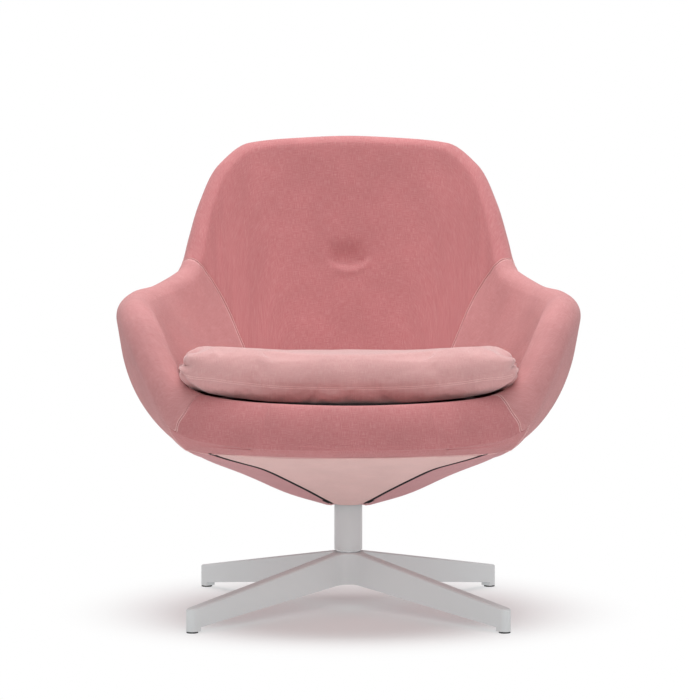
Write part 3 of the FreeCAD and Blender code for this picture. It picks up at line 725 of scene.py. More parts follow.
def new_object(name: str, points: Array, faces: Sequence, uvs: Array | None = None) -> bpy.types.Object:
    """Object at the origin from points in metres.

    Args:
        name: name of the piece.
        points: N by 3 array.
        faces: tuples of point numbers.
        uvs: one pair per point, in metres of cloth, or None.

    Returns:
        The object, linked to the scene, shaded smooth.
    """
    mesh = bpy.data.meshes.new(name)
    mesh.from_pydata([tuple(p) for p in points.tolist()], [], [tuple(f) for f in faces])
    mesh.update()
    if uvs is not None:
        add_cloth_map(mesh, uvs)
    shade_smooth(mesh)
    mesh.update()
    obj = bpy.data.objects.new(name, mesh)
    bpy.context.scene.collection.objects.link(obj)
    return obj


def shell_faces(rows: int, columns: int) -> list[tuple]:
    """Faces of a closed thin shell over a grid of rows by columns, outer skin first.

    Args:
        rows: points along the first direction.
        columns: points along the second direction.

    Returns:
        Quads as tuples of point numbers.
    """
    skin = rows * columns
    faces = []
    for i in range(rows - 1):
        j = i + 1
        for k in range(columns - 1):
            a, b, c, d = i * columns + k, j * columns + k, j * columns + k + 1, i * columns + k + 1
            faces.append((a, b, c, d))
            faces.append((skin + d, skin + c, skin + b, skin + a))
        for k, flip in ((0, True), (columns - 1, False)):
            a, b = i * columns + k, j * columns + k
            side = (a, skin + a, skin + b, b)
            faces.append(side if flip else side[::-1])
    for i, flip in ((0, False), (rows - 1, True)):
        for k in range(columns - 1):
            a, b = i * columns + k, i * columns + k + 1
            side = (a, skin + a, skin + b, b)
            faces.append(side if flip else side[::-1])
    return faces


@dataclass
class Panel:
    """One sewn cover of the bucket, between two azimuth edges and two course edges."""

    form: BucketForm
    name: str
    start: Edge
    end: Edge
    low: Edge
    high: Edge
    rows: int
    columns: int
    thickness: float = 0.0045
    seam_depth: float = 0.0012
    seam_width: float = 0.005
    tucked: float = 0.0
    tuck_width: float = 0.0085
    crowding: float = 0.16

    def grid(self) -> tuple[Array, Array]:
        """Azimuth and course of every point of the panel, closer together at its edges.

        Returns:
            Two arrays of rows by columns.
        """
        u = np.linspace(0, 1, self.rows)
        u = u - self.crowding / (2 * math.pi) * np.sin(2 * math.pi * u)
        v = np.linspace(0, 1, self.columns)
        low = np.zeros(self.rows)
        high = np.full(self.rows, TOP_COURSE)
        for _ in range(4):
            guess = (low + high) / 2
            middle = self.start(guess) + (self.end(guess) - self.start(guess)) * u
            low = self.low(middle)
            high = self.high(middle)
        course = low[:, None] + (high - low)[:, None] * v
        for _ in range(12):
            azimuth = self.start(course) + (self.end(course) - self.start(course)) * u[:, None]
            low = self.low(azimuth)
            high = self.high(azimuth)
            course = low + (high - low) * v
        return azimuth, course

    def skin(self) -> tuple[Array, Array, Array]:
        """Points, outward normals, and azimuth and course of the panel's outer skin.

        Returns:
            Three arrays of rows by columns by values.
        """
        azimuth, course = self.grid()
        points = self.form.point(azimuth, course)
        return points, self.form.normal(azimuth, course), np.stack([azimuth, course], -1)

    @staticmethod
    def lengths(points: Array) -> tuple[Array, Array]:
        """Cloth length from the panel's start edge and from its low edge.

        Args:
            points: the panel's skin, rows by columns by 3.

        Returns:
            Lengths across and along, in metres.
        """
        across = np.zeros(points.shape[:2])
        across[1:] = np.cumsum(np.linalg.norm(np.diff(points, axis=0), axis=-1), axis=0)
        along = np.zeros(points.shape[:2])
        along[:, 1:] = np.cumsum(np.linalg.norm(np.diff(points, axis=1), axis=-1), axis=1)
        return across, along

    def inset(self, points: Array) -> Array:
        """How far each point is drawn in by the seams at the panel's edges.

        Args:
            points: the panel's skin, rows by columns by 3.

        Returns:
            Depths in metres, rows by columns.
        """
        depth = np.zeros(points.shape[:2])
        across, along = self.lengths(points)
        edges = {"low": along, "high": along[:, -1:] - along, "start": across, "end": across[-1:] - across}
        for name, distance in edges.items():
            if name == "high" and self.tucked:
                depth += bump(distance, 0.0, self.tuck_width) * self.tucked
            else:
                depth += bump(distance, 0.0, self.seam_width) * self.seam_depth
        return depth

    def build(self, shape: Callable[[Array, Array, Array], Array] | None = None) -> bpy.types.Object:
        """Closed thin shell of the panel.

        Args:
            shape: optional change of the skin, given points, normals and the form's coordinates.

        Returns:
            The piece, with a cloth map in metres.
        """
        points, normals, places = self.skin()
        if shape is not None:
            points = shape(points, normals, places)
        points = points - normals * self.inset(points)[..., None]
        inner = points - normals * self.thickness
        across, along = self.lengths(points)
        across -= across[len(across) // 2]
        uvs = np.stack([across, along], -1).reshape(-1, 2)
        both = np.concatenate([points.reshape(-1, 3), inner.reshape(-1, 3)])
        faces = shell_faces(self.rows, self.columns)
        return new_object(self.name, both, faces, np.concatenate([uvs, uvs]))


def constant(value: float) -> Edge:
    """Edge that stays at one value."""
    return lambda where: np.full(np.shape(where), float(value))


def mirrored(edge: Edge, full_turn: float = 0.0) -> Edge:
    """Edge on the other side of the chair, where wanted as an azimuth past the back."""
    return lambda where: full_turn - edge(where)


def lathe(name: str, rings: Array, uvs: bool = True) -> bpy.types.Object:
    """Closed body from a ring of profiles whose first and last points meet at poles.

    Args:
        name: name of the piece.
        rings: rows by columns by 3 array; each row runs from one pole to the other.
        uvs: True to add a flat cloth map from X and Y.

    Returns:
        The object.
    """
    rows, columns = rings.shape[:2]
    inner = rings[:, 1:-1].reshape(-1, 3)
    poles = np.stack([rings[:, 0].mean(0), rings[:, -1].mean(0)])
    points = np.concatenate([inner, poles])
    width = columns - 2
    top = rows * width
    faces = []
    for i in range(rows):
        j = (i + 1) % rows
        faces.append((top, i * width, j * width))
        faces.append((top + 1, j * width + width - 1, i * width + width - 1))
        for k in range(width - 1):
            faces.append((i * width + k, i * width + k + 1, j * width + k + 1, j * width + k))
    return new_object(name, points, faces, points[:, :2] if uvs else None)


@dataclass
class Seams:
    """Stitch rows that run along the seams of the bucket."""

    form: BucketForm
    plan: SeamPlan
    away: float = 0.0019
    sink: float = 0.0007
    topstitch_away: tuple = (0.0088, 0.0112)
    topstitch_sink: float = 0.0003
    back_courses: tuple = (3.22, 5.9)
    mitre_courses: tuple = (1.08, 5.2)
    front_azimuth: float = 52.0
    arm_azimuths: tuple = (54.0, 179.0)

    def row(self, azimuth: Array, course: Array, side: float, away: float | None = None) -> Array:
        """Points beside a seam, just under the padded skin.

        Args:
            azimuth: azimuths along the seam.
            course: courses along the seam.
            side: +1 or -1 for the two sides of the seam.
            away: distance from the seam; the usual one where None.

        Returns:
            N by 3 array in metres.
        """
        points = self.form.point(azimuth, course)
        tangent = unit(np.gradient(points, axis=0))
        normal = self.form.normal(azimuth, course)
        across = unit(np.cross(normal, tangent))
        shift = self.away if away is None else away
        sink = self.sink if away is None else self.topstitch_sink
        return points + across * shift * side - normal * sink

    def rows(self) -> list[Array]:
        """Every stitch row of the bucket.

        Returns:
            One N by 3 array per row.
        """
        found = []
        on_back = np.linspace(*self.back_courses, 260)
        on_mitre = np.linspace(*self.mitre_courses, 220)
        for side in Side:
            for beside in (-1.0, 1.0):
                found.append(self.row(self.plan.back(on_back) * side.value, on_back, beside))
                found.append(self.row(self.plan.mitre(on_mitre) * side.value, on_mitre, beside))
        front = np.linspace(-self.front_azimuth, self.front_azimuth, 400)
        for away in self.topstitch_away:
            found.append(self.row(front, self.plan.rim(front), 1.0, away))
        for side in Side:
            arm = np.linspace(*self.arm_azimuths, 700) * side.value
            found.append(self.row(arm, self.plan.rim(arm), float(side.value)))
        return found


@dataclass(frozen=True)
class Bead:
    """Small rounded rod that is laid in rows, as a stitch or as a zip's tooth."""

    length: float
    radius: float
    pitch: float
    wander: float = 0.0
    seed: int = 7
    flat: float = 1.0
    sides: int = 6
    profile: tuple = ((-0.5, 0.0), (-0.42, 0.7), (-0.2, 1.0), (0.2, 1.0), (0.42, 0.7), (0.5, 0.0))

    def build(self, name: str) -> bpy.types.Object:
        """One rod, lying along X.

        Args:
            name: name of the object.

        Returns:
            The object.
        """
        rings = []
        for k in range(self.sides):
            turn = 2 * math.pi * k / self.sides
            wide = math.cos(turn) * self.radius
            tall = math.sin(turn) * self.radius
            ring = [(x * self.length, wide * share, tall * share * self.flat) for x, share in self.profile]
            rings.append(ring)
        return lathe(name, np.array(rings)[:, ::-1], False)


SEAT_STITCH = Bead(0.0032, 0.0005, 0.0036, 0.06)
CUSHION_STITCH = Bead(0.0030, 0.00042, 0.0036, 0.06, 11)
ZIP_TOOTH = Bead(0.0011, 0.0009, 0.0019, flat=0.6)


def repeat_group() -> bpy.types.NodeTree:
    """Geometry group that lays one small shape along every line of a mesh.

    Returns:
        Group with Geometry, Pitch, Wander, Seed, Shape and Finish inputs.
    """
    group = bpy.data.node_groups.new("laid_along_lines", "GeometryNodeTree")
    face = group.interface
    face.new_socket("Geometry", in_out="INPUT", socket_type="NodeSocketGeometry")
    for name, kind in (("Pitch", "NodeSocketFloat"), ("Wander", "NodeSocketFloat"), ("Seed", "NodeSocketInt"),
                       ("Shape", "NodeSocketObject"), ("Finish", "NodeSocketMaterial")):
        face.new_socket(name, in_out="INPUT", socket_type=kind)
    face.new_socket("Geometry", in_out="OUTPUT", socket_type="NodeSocketGeometry")
    build = NodeBuilder(group)
    given = build.add("NodeGroupInput")
    curve = build.add("GeometryNodeMeshToCurve", {"Mesh": given.outputs["Geometry"]})
    spaced = build.add("GeometryNodeResampleCurve", {"Curve": curve.outputs[0]}, mode="LENGTH")
    group.links.new(given.outputs["Pitch"], spaced.inputs["Length"])
    shape = build.add("GeometryNodeObjectInfo")
    group.links.new(given.outputs["Shape"], shape.inputs["Object"])
    tangent = build.add("GeometryNodeInputTangent")
    sway = build.add("FunctionNodeRandomValue", {"Seed": given.outputs["Seed"]}, data_type="FLOAT_VECTOR")
    sway.inputs["Min"].default_value = (-1.0, -1.0, -1.0)
    sway.inputs["Max"].default_value = (1.0, 1.0, 1.0)
    scaled = build.add("ShaderNodeVectorMath", {0: sway.outputs[0]}, operation="SCALE")
    group.links.new(given.outputs["Wander"], scaled.inputs["Scale"])
    aim = build.add("ShaderNodeVectorMath", {0: tangent.outputs[0], 1: scaled.outputs[0]}, operation="ADD")
    turned = build.add("FunctionNodeAlignRotationToVector", {"Vector": aim.outputs[0]}, axis="X")
    laid = build.add("GeometryNodeInstanceOnPoints", {
        "Points": spaced.outputs[0], "Instance": shape.outputs["Geometry"], "Rotation": turned.outputs[0]})
    real = build.add("GeometryNodeRealizeInstances", {"Geometry": laid.outputs[0]})
    finish = build.add("GeometryNodeSetMaterial", {"Geometry": real.outputs[0]})
    group.links.new(given.outputs["Finish"], finish.inputs["Material"])
    build.add("NodeGroupOutput", {"Geometry": finish.outputs[0]})
    return group


@dataclass
class Repeater:
    """Lays stitches and teeth by Geometry Nodes, and turns them into plain meshes."""

    group: bpy.types.NodeTree

    def lay(self, name: str, lines: list, bead: Bead, finish: bpy.types.Material) -> bpy.types.Object:
        """One mesh of small shapes along lines.

        Args:
            name: name of the piece.
            lines: arrays of N by 3 points.
            bead: the small shape, its spacing and how unevenly it lies.
            finish: its material.

        Returns:
            A plain mesh object.
        """
        points = np.concatenate(lines)
        edges = []
        first = 0
        for line in lines:
            edges += [(first + i, first + i + 1) for i in range(len(line) - 1)]
            first += len(line)
        mesh = bpy.data.meshes.new(name + "_line")
        mesh.from_pydata([tuple(p) for p in points.tolist()], edges, [])
        carrier = bpy.data.objects.new(name + "_line", mesh)
        bpy.context.scene.collection.objects.link(carrier)
        modifier = carrier.modifiers.new("laid", "NODES")
        modifier.node_group = self.group
        shape = bead.build(name + "_bead")
        values = {"Pitch": bead.pitch, "Wander": bead.wander, "Seed": bead.seed, "Shape": shape,
                  "Finish": finish}
        for item in self.group.interface.items_tree:
            if item.in_out == "INPUT" and item.name in values:
                modifier[item.identifier] = values[item.name]
        bpy.context.view_layer.update()
        graph = bpy.context.evaluated_depsgraph_get()
        plain = bpy.data.meshes.new_from_object(carrier.evaluated_get(graph), depsgraph=graph)
        plain.name = name
        laid = bpy.data.objects.new(name, plain)
        bpy.context.scene.collection.objects.link(laid)
        shade_smooth(plain)
        for spare in (carrier, shape):
            bpy.data.objects.remove(spare, do_unlink=True)
        return laid


def prism(outline: Sequence, low: float, high: float, bevel: float) -> tuple[list, list]:
    """Bevelled plate over a star-shaped outline, as points and faces.

    Args:
        outline: corner points in X and Y, anticlockwise.
        low: lower height.
        high: upper height.
        bevel: width of the bevel.

    Returns:
        Points and faces.
    """
    count = len(outline)
    centre = (sum(p[0] for p in outline) / count, sum(p[1] for p in outline) / count)
    points = []
    for height, shrink in ((low, bevel), (low + bevel, 0.0), (high - bevel, 0.0), (high, bevel)):
        for x, y in outline:
            reach = math.hypot(x - centre[0], y - centre[1])
            keep = 1 - shrink / max(reach, 1e-9)
            points.append((centre[0] + (x - centre[0]) * keep, centre[1] + (y - centre[1]) * keep, height))
    faces = [tuple(range(count))[::-1], tuple(range(3 * count, 4 * count))]
    for level in range(3):
        lower = level * count
        upper = lower + count
        for i in range(count):
            j = (i + 1) % count
            faces.append((lower + i, lower + j, upper + j, upper + i))
    return points, faces


@dataclass
class Zips:
    """The two zips in the underside: tape, teeth and slider."""

    form: BucketForm
    courses: tuple = (0.0, 0.3, 0.6, 0.8, 0.97)
    azimuths: tuple = (37.0, 33.5, 34.0, 36.5, 41.5)
    first: float = 0.05
    last: float = 0.955
    half_width: float = 0.0040
    steps: int = 160
    tape_sink: float = 0.0004
    tape_thickness: float = 0.0012
    slider_step: int = 8
    tooth_steps: int = 300
    tooth_away: float = 0.0007
    tooth_rise: float = 0.0002

    def line(self, course: Array) -> Array:
        """Azimuth of the zip at a course."""
        return through_points(self.courses, self.azimuths, course)

    def path(self, side: Side, count: int, sink: float) -> tuple[Array, Array, Array]:
        """Points, directions across and outward normals along one zip.

        Args:
            side: which zip.
            count: number of points.
            sink: depth under the skin, in metres.

        Returns:
            Three N by 3 arrays.
        """
        course = np.linspace(self.first, self.last, count)
        azimuth = self.line(course) * side.value
        points = self.form.point(azimuth, course)
        normal = self.form.normal(azimuth, course)
        tangent = unit(np.gradient(points, axis=0))
        return points - normal * sink, unit(np.cross(normal, tangent)), normal

    def tape(self, side: Side) -> bpy.types.Object:
        """Woven tape, slightly hollow between its two halves.

        Args:
            side: which zip.

        Returns:
            The piece.
        """
        points, across, normal = self.path(side, self.steps, self.tape_sink)
        profile = ((-1.0, 0.0003), (-0.35, 0.0006), (0.0, 0.0), (0.35, 0.0006), (1.0, 0.0003))
        upper = np.stack([points + across * w * self.half_width + normal * h for w, h in profile], 1)
        lower = upper - normal[:, None] * self.tape_thickness
        both = np.concatenate([upper.reshape(-1, 3), lower.reshape(-1, 3)])
        faces = [face[::-1] for face in shell_faces(len(points), len(profile))]
        return new_object("zip_tape_" + side.word, both, faces, both[:, :2])

    def slider(self, side: Side) -> bpy.types.Object:
        """Slider with its waist and a pull tab that hangs along the zip.

        Args:
            side: which zip.

        Returns:
            The piece.
        """
        points, _, normal = self.path(side, self.steps, 0.0)
        at = self.slider_step
        centre = points[at] + normal[at] * 0.0002
        ahead = unit(points[at + 2] - points[at])
        body = ((-0.006, -0.0016), (-0.003, -0.0024), (0.001, -0.0031), (0.0052, -0.0031), (0.006, -0.0012),
                (0.0046, 0.0), (0.006, 0.0012), (0.0052, 0.0031), (0.001, 0.0031), (-0.003, 0.0024),
                (-0.006, 0.0016))
        bridge = ((-0.0035, -0.0009), (0.003, -0.0009), (0.003, 0.0009), (-0.0035, 0.0009))
        turns = [math.pi * k / 8 for k in range(9)]
        tab = [(0.013 + 0.0021 * math.sin(t), -0.0021 * math.cos(t)) for t in turns]
        tab += [(0.0015 - 0.0014 * math.sin(t), 0.0014 * math.cos(t)) for t in turns]
        points_all = []
        faces_all = []
        for outline, low, high, bevel in ((body, -0.0002, 0.0012, 0.0003), (bridge, 0.0012, 0.0022, 0.0002),
                                          (tab, 0.0014, 0.0023, 0.0002)):
            plate_points, plate_faces = prism(outline, low, high, bevel)
            shift = len(points_all)
            faces_all += [tuple(shift + i for i in face) for face in plate_faces]
            points_all += plate_points
        local = np.array(points_all)
        side_way = unit(np.cross(normal[at], ahead))
        world = centre + local[:, :1] * ahead + local[:, 1:2] * side_way + local[:, 2:3] * normal[at]
        return new_object("zip_pull_" + side.word, world, faces_all)


@dataclass
class Cushion:
    """Loose seat cushion, swelled by a cloth simulation and then sewn and gathered at its ends."""

    ends: tuple = (0, 96, 181, 240, 272, 287)
    front: tuple = (-320, -317, -310, -297, -277, -248)
    rear: tuple = (156, 144, 107, 60, 9, -87)
    front_low: tuple = (388, 390, 397, 407, 420, 434)
    front_high: tuple = (450, 453, 461, 463, 452, 445)
    thick: tuple = (70, 69, 64, 53, 33, 12)
    rise: tuple = (2, 3, 9, 19, 33, 47)
    crown: float = 5.0
    edge_round: float = 14.0
    corner: tuple = (0.286, -0.235, 0.441)
    seam_rise: float = 0.016
    voxel: float = 0.006
    pressure: float = 4.0
    frames: int = 16
    cap: float = 0.009
    seam_depth: float = 0.0026
    seam_width: float = 0.0055
    pucker_depth: float = 0.0006
    pucker_width: float = 0.012
    dent_depth: float = 0.006
    dent_radius: float = 0.016
    pinch_depth: float = 0.009
    pinch_height: float = 0.006
    pinch_reach: float = 0.045
    gather_depth: float = 0.0042
    gather_ring: tuple = (0.034, 0.030)
    unevenness: float = 0.0004

    def start_shape(self, form: BucketForm) -> bpy.types.Object:
        """Slack skin of the cushion from its sections, remeshed into even quads.

        Args:
            form: the bucket, whose deck the cushion lies on.

        Returns:
            The object.
        """
        last = self.ends[-1]
        x = np.linspace(-last, last, 81)
        reach = np.abs(x)
        front, rear, low, high, thick, rise = (
            through_points(self.ends, values, reach)[:, None]
            for values in (self.front, self.rear, self.front_low, self.front_high, self.thick, self.rise)
        )
        tilt = math.tan(math.radians(form.deck_tilt))
        rear_low = form.deck_height - tilt * rear + rise
        rear_high = rear_low + thick
        soft = np.minimum(self.edge_round, thick / 2)
        crown = self.crown * (1 - reach[:, None] / last)
        under_front = np.stack([front + soft, low], -1)
        under_rear = np.stack([rear - soft, rear_low], -1)
        rear_edge = np.stack([rear, (rear_low + rear_high) / 2], -1)
        over_rear = np.stack([rear - soft, rear_high], -1)
        middle = np.stack([(front + rear) / 2, (high + rear_high) / 2 + crown], -1)
        over_front = np.stack([front + soft, high], -1)
        front_edge = np.stack([front, (low + high) / 2], -1)
        share = np.linspace(0, 1, 24, endpoint=False)[None, :]
        way = share[..., None]
        section = np.concatenate([
            under_front * (1 - way) + under_rear * way,
            arc_through(under_rear, rear_edge, over_rear, share),
            arc_through(over_rear, middle, over_front, share),
            arc_through(over_front, front_edge, under_front, share),
        ], 1)
        across = np.broadcast_to(x[:, None, None], section.shape[:2] + (1,))
        rings = np.concatenate([across, section], -1).transpose(1, 0, 2) * MM
        rough = lathe("seat_cushion", rings, False)
        remesh = rough.modifiers.new("even", "REMESH")
        remesh.mode = "VOXEL"
        remesh.voxel_size = self.voxel
        self.apply(rough)
        return rough

    @staticmethod
    def apply(obj: bpy.types.Object) -> None:
        """Turn the evaluated shape into the object's own mesh and drop its modifiers.

        Args:
            obj: object with modifiers.
        """
        bpy.context.view_layer.update()
        graph = bpy.context.evaluated_depsgraph_get()
        mesh = bpy.data.meshes.new_from_object(obj.evaluated_get(graph), depsgraph=graph)
        obj.modifiers.clear()
        obj.data = mesh

    def swell(self, obj: bpy.types.Object) -> None:
        """Inflate the skin by cloth simulation, with its travel capped.

        Args:
            obj: the slack skin.
        """
        start = vertex_places(obj.data)
        modifier = obj.modifiers.new("cloth", "CLOTH")
        settings = modifier.settings
        settings.quality = 5
        settings.mass = 0.35
        settings.tension_stiffness = 18.0
        settings.compression_stiffness = 12.0
        settings.shear_stiffness = 6.0
        settings.bending_stiffness = 0.6
        settings.use_pressure = True
        settings.uniform_pressure_force = self.pressure
        settings.shrink_min = -0.004
        settings.effector_weights.gravity = 0.0
        scene = bpy.context.scene
        modifier.point_cache.frame_start = 1
        modifier.point_cache.frame_end = self.frames
        for number in range(1, self.frames + 1):
            scene.frame_set(number)
        graph = bpy.context.evaluated_depsgraph_get()
        swollen = vertex_places(obj.evaluated_get(graph).to_mesh())
        obj.evaluated_get(graph).to_mesh_clear()
        obj.modifiers.clear()
        scene.frame_set(1)
        moved = swollen - start
        length = np.linalg.norm(moved, axis=1, keepdims=True)
        moved *= np.minimum(1.0, self.cap / np.maximum(length, 1e-9))
        obj.data.vertices.foreach_set("co", (start + moved).ravel())
        obj.data.update()

    def seam_height(self, x: Array, y: Array) -> Array:
        """Height of the sewn seam round the cushion's front and ends.

        Args:
            x: places across, in metres.
            y: places front to back, in metres.

        Returns:
            Heights in metres.
        """
        low = through_points(self.ends, self.front_low, np.abs(x) / MM) * MM
        back = smooth_step(-0.25, 0.05, y) * 0.03
        return low + self.seam_rise * (1 - 0.7 * smooth_step(0.21, 0.287, np.abs(x))) - back * 0.4

    def sew(self, obj: bpy.types.Object) -> None:
        """Draw in the seam, pinch the ends and gather the cloth at them.

        Args:
            obj: the swelled cushion.
        """
        place = vertex_places(obj.data)
        obj.data.update()
        normals = np.empty(len(place) * 3)
        obj.data.vertex_normals.foreach_get("vector", normals)
        normals = normals.reshape(-1, 3)
        x, y, z = place.T
        depth = np.zeros(len(place))
        sideways = np.clip(1.25 - np.abs(normals[:, 2]) * 1.5, 0, 1)
        front = 1 - smooth_step(0.0, 0.08, y)
        off = z - self.seam_height(x, y)
        depth += self.seam_depth * bump(off, 0, self.seam_width) * sideways * front
        pucker = np.sin(x * 420 + 2.0 * np.sin(x * 130)) * bump(off, 0, self.pucker_width)
        depth += pucker * self.pucker_depth * sideways * front
        for side in Side:
            px, py, pz = self.corner
            dx, dy, dz = x * side.value - px, y - py, z - pz
            reach = np.sqrt(dx**2 + dy**2 + dz**2)
            depth += self.dent_depth * bump(reach, 0, self.dent_radius)
            depth += self.pinch_depth * bump(dz, 0, self.pinch_height) * bump(reach, 0, self.pinch_reach)
            turn = np.arctan2(dz, -dx * 0.8 - dy * 0.6)
            fold = np.sin(turn * 11 + side.value * 0.8 + 3 * reach / 0.05)
            depth += self.gather_depth * fold * bump(reach, *self.gather_ring)
        wave = np.sin(x * 31 + 1.3) * np.sin(y * 27 + 0.6) + 0.6 * np.sin(x * 63 - y * 40 + 2.0)
        depth += self.unevenness * wave
        obj.data.vertices.foreach_set("co", (place - normals * depth[:, None]).ravel())
        obj.data.update()

    def map_cloth(self, obj: bpy.types.Object) -> None:
        """Cloth map in metres, running over the front edge without a break.

        Args:
            obj: the sewn cushion.
        """
        place = vertex_places(obj.data)
        add_cloth_map(obj.data, np.stack([place[:, 0], place[:, 1] + place[:, 2]], -1))
        shade_smooth(obj.data)

    def stitch_rows(self, obj: bpy.types.Object) -> list[Array]:
        """Two rows of stitches along the front seam, found on the finished skin.

        Args:
            obj: the finished cushion.

        Returns:
            Two N by 3 arrays.
        """
        bpy.context.view_layer.update()
        rows = []
        for shift in (-0.0015, 0.0015):
            line = []
            for x in np.linspace(-0.264, 0.264, 174):
                height = float(self.seam_height(np.array(x), np.array(-0.3))) + shift
                hit, where, normal, _ = obj.ray_cast(Vector((float(x), -0.6, height)), Vector((0, 1, 0)))
                if hit:
                    line.append(np.array(where) - np.array(normal) * 0.0001)
            rows.append(np.array(line))
        return rows

    def build(self, form: BucketForm) -> bpy.types.Object:
        """The finished cushion as a piece.

        Args:
            form: the bucket, whose deck the cushion lies on.

        Returns:
            The piece.
        """
        obj = self.start_shape(form)
        self.swell(obj)
        subdivision = obj.modifiers.new("soft", "SUBSURF")
        subdivision.levels = 1
        subdivision.render_levels = 1
        self.apply(obj)
        self.sew(obj)
        self.map_cloth(obj)
        return obj


@dataclass
class Deck:
    """Cloth deck under the cushion, near black; its dark colour also paints the shade in the gap round the
    cushion.
    """

    form: BucketForm
    thickness: float = 0.004
    clearance: float = 0.001
    lift: float = 3.0
    hollow: float = 0.0015
    pucker: float = 0.0006
    puckers: int = 36
    rings: int = 26

    def build(self) -> bpy.types.Object:
        """Cloth disc that follows the roots of the panels, slightly hollow and puckered.

        Returns:
            The piece.
        """
        azimuth = np.linspace(0, 360, 120, endpoint=False)
        reach = self.form.read("foot_radius", azimuth) * MM - self.clearance
        shares = np.concatenate([np.linspace(0, 1, self.rings), np.linspace(1, 0, self.rings)])[None, :]
        turn = np.radians(azimuth)[:, None]
        radius = reach[:, None] * shares
        rise = math.tan(math.radians(self.form.deck_tilt)) * radius * np.cos(turn)
        height = (self.form.deck_height - self.form.deck_sink + self.lift) * MM + rise
        pucker = self.pucker * np.sin(turn * self.puckers) * shares**6
        height = height - self.hollow * (1 - shares**2) + pucker
        height[:, self.rings:] -= self.thickness
        rings = np.stack([radius * np.sin(turn), -radius * np.cos(turn), height], -1)
        return lathe("deck_sheet", rings)


@dataclass(frozen=True)
class Softbox:
    """Rectangular light, where it stands, what it looks at, its size and its watts."""

    name: str
    place: tuple
    aim: tuple
    size: tuple
    power: float

    def build(self) -> None:
        """Hang the light, out of the camera's sight."""
        light = bpy.data.lights.new(self.name, "AREA")
        light.shape = "RECTANGLE"
        light.size, light.size_y = self.size
        light.energy = self.power
        obj = bpy.data.objects.new(self.name, light)
        bpy.context.scene.collection.objects.link(obj)
        obj.location = self.place
        obj.rotation_euler = (Vector(self.aim) - Vector(self.place)).to_track_quat("-Z", "Y").to_euler()
        obj.visible_camera = False


@dataclass
class Studio:
    """White floor, white surroundings, softboxes and the photograph's camera."""

    world_light: float = 0.40
    lights: tuple = (
        Softbox("top_softbox", (0.0, 0.25, 3.1), (0.0, 0.0, 0.3), (2.6, 2.6), 92.0),
        Softbox("front_softbox", (0.3, -4.2, 2.2), (0.0, 0.0, 0.45), (2.6, 2.2), 32.0),
        Softbox("left_softbox", (2.9, -1.2, 1.2), (0.0, 0.0, 0.4), (1.8, 1.8), 7.0),
        Softbox("right_softbox", (-2.9, -1.2, 1.2), (0.0, 0.0, 0.4), (1.8, 1.8), 7.0),
    )
    lens: float = 153.74
    sensor: float = 36.0
    camera_place: tuple = (-0.0065, -5.0166, 0.7940)
    camera_pitch: float = 3.978
    floor_radius: float = 3.0
    shadow_reach: tuple = (0.22, 0.52)
    shadow_glow: tuple = (0.14, 1.0)
    bounce_glow: float = 0.42

    def world(self) -> None:
        """White for what the camera sees, and a soft even light for the rest."""
        world = bpy.data.worlds.new("studio")
        bpy.context.scene.world = world
        world.use_nodes = True
        tree = world.node_tree
        tree.nodes.clear()
        build = NodeBuilder(tree)
        path = build.add("ShaderNodeLightPath")
        seen = build.maths("MAXIMUM", path.outputs["Is Camera Ray"], path.outputs["Is Transmission Ray"])
        strength = build.spread(seen, 0.0, 1.0, self.world_light, 1.0)
        shine = build.add("ShaderNodeBackground", {"Color": (1, 1, 1, 1), "Strength": strength})
        build.add("ShaderNodeOutputWorld", {"Surface": shine.outputs[0]})

    def floor(self) -> None:
        """Floor that keeps the soft shadow near the chair and fades to white."""
        turn = np.linspace(0, 2 * math.pi, 64, endpoint=False)
        rim = np.stack([np.cos(turn) * self.floor_radius, np.sin(turn) * self.floor_radius, turn * 0], -1)
        obj = new_object("floor", rim, [tuple(range(64))])
        material = bpy.data.materials.new("studio_floor")
        material.use_nodes = True
        tree = material.node_tree
        tree.nodes.clear()
        build = NodeBuilder(tree)
        place = build.add("ShaderNodeTexCoord").outputs["Object"]
        reach = build.add("ShaderNodeVectorMath", {0: place}, operation="LENGTH").outputs["Value"]
        fade = build.spread(reach, *self.shadow_reach, *self.shadow_glow)
        fade.node.interpolation_type = "SMOOTHSTEP"
        path = build.add("ShaderNodeLightPath")
        seen = path.outputs["Is Camera Ray"]
        share = build.add("ShaderNodeMix", {0: seen, 2: self.bounce_glow, 3: fade}).outputs[0]
        matt = build.add("ShaderNodeBsdfDiffuse", {"Color": (0.86, 0.86, 0.865, 1.0)})
        glow = build.add("ShaderNodeEmission", {"Color": (1, 1, 1, 1), "Strength": 1.0})
        both = build.add("ShaderNodeMixShader", {0: share, 1: matt.outputs[0], 2: glow.outputs[0]})
        build.add("ShaderNodeOutputMaterial", {"Surface": both.outputs[0]})
        obj.data.materials.append(material)

    def camera(self) -> None:
        """Camera solved from the photograph."""
        data = bpy.data.cameras.new("camera")
        data.lens = self.lens
        data.sensor_width = self.sensor
        data.sensor_fit = "HORIZONTAL"
        obj = bpy.data.objects.new("camera", data)
        bpy.context.scene.collection.objects.link(obj)
        obj.location = self.camera_place
        obj.rotation_euler = (math.radians(90 - self.camera_pitch), 0.0, 0.0)
        bpy.context.scene.camera = obj

    def build(self) -> None:
        """Set everything up."""
        self.world()
        self.floor()
        for light in self.lights:
            light.build()
        self.camera()
        bpy.context.scene.view_settings.view_transform = "Standard"


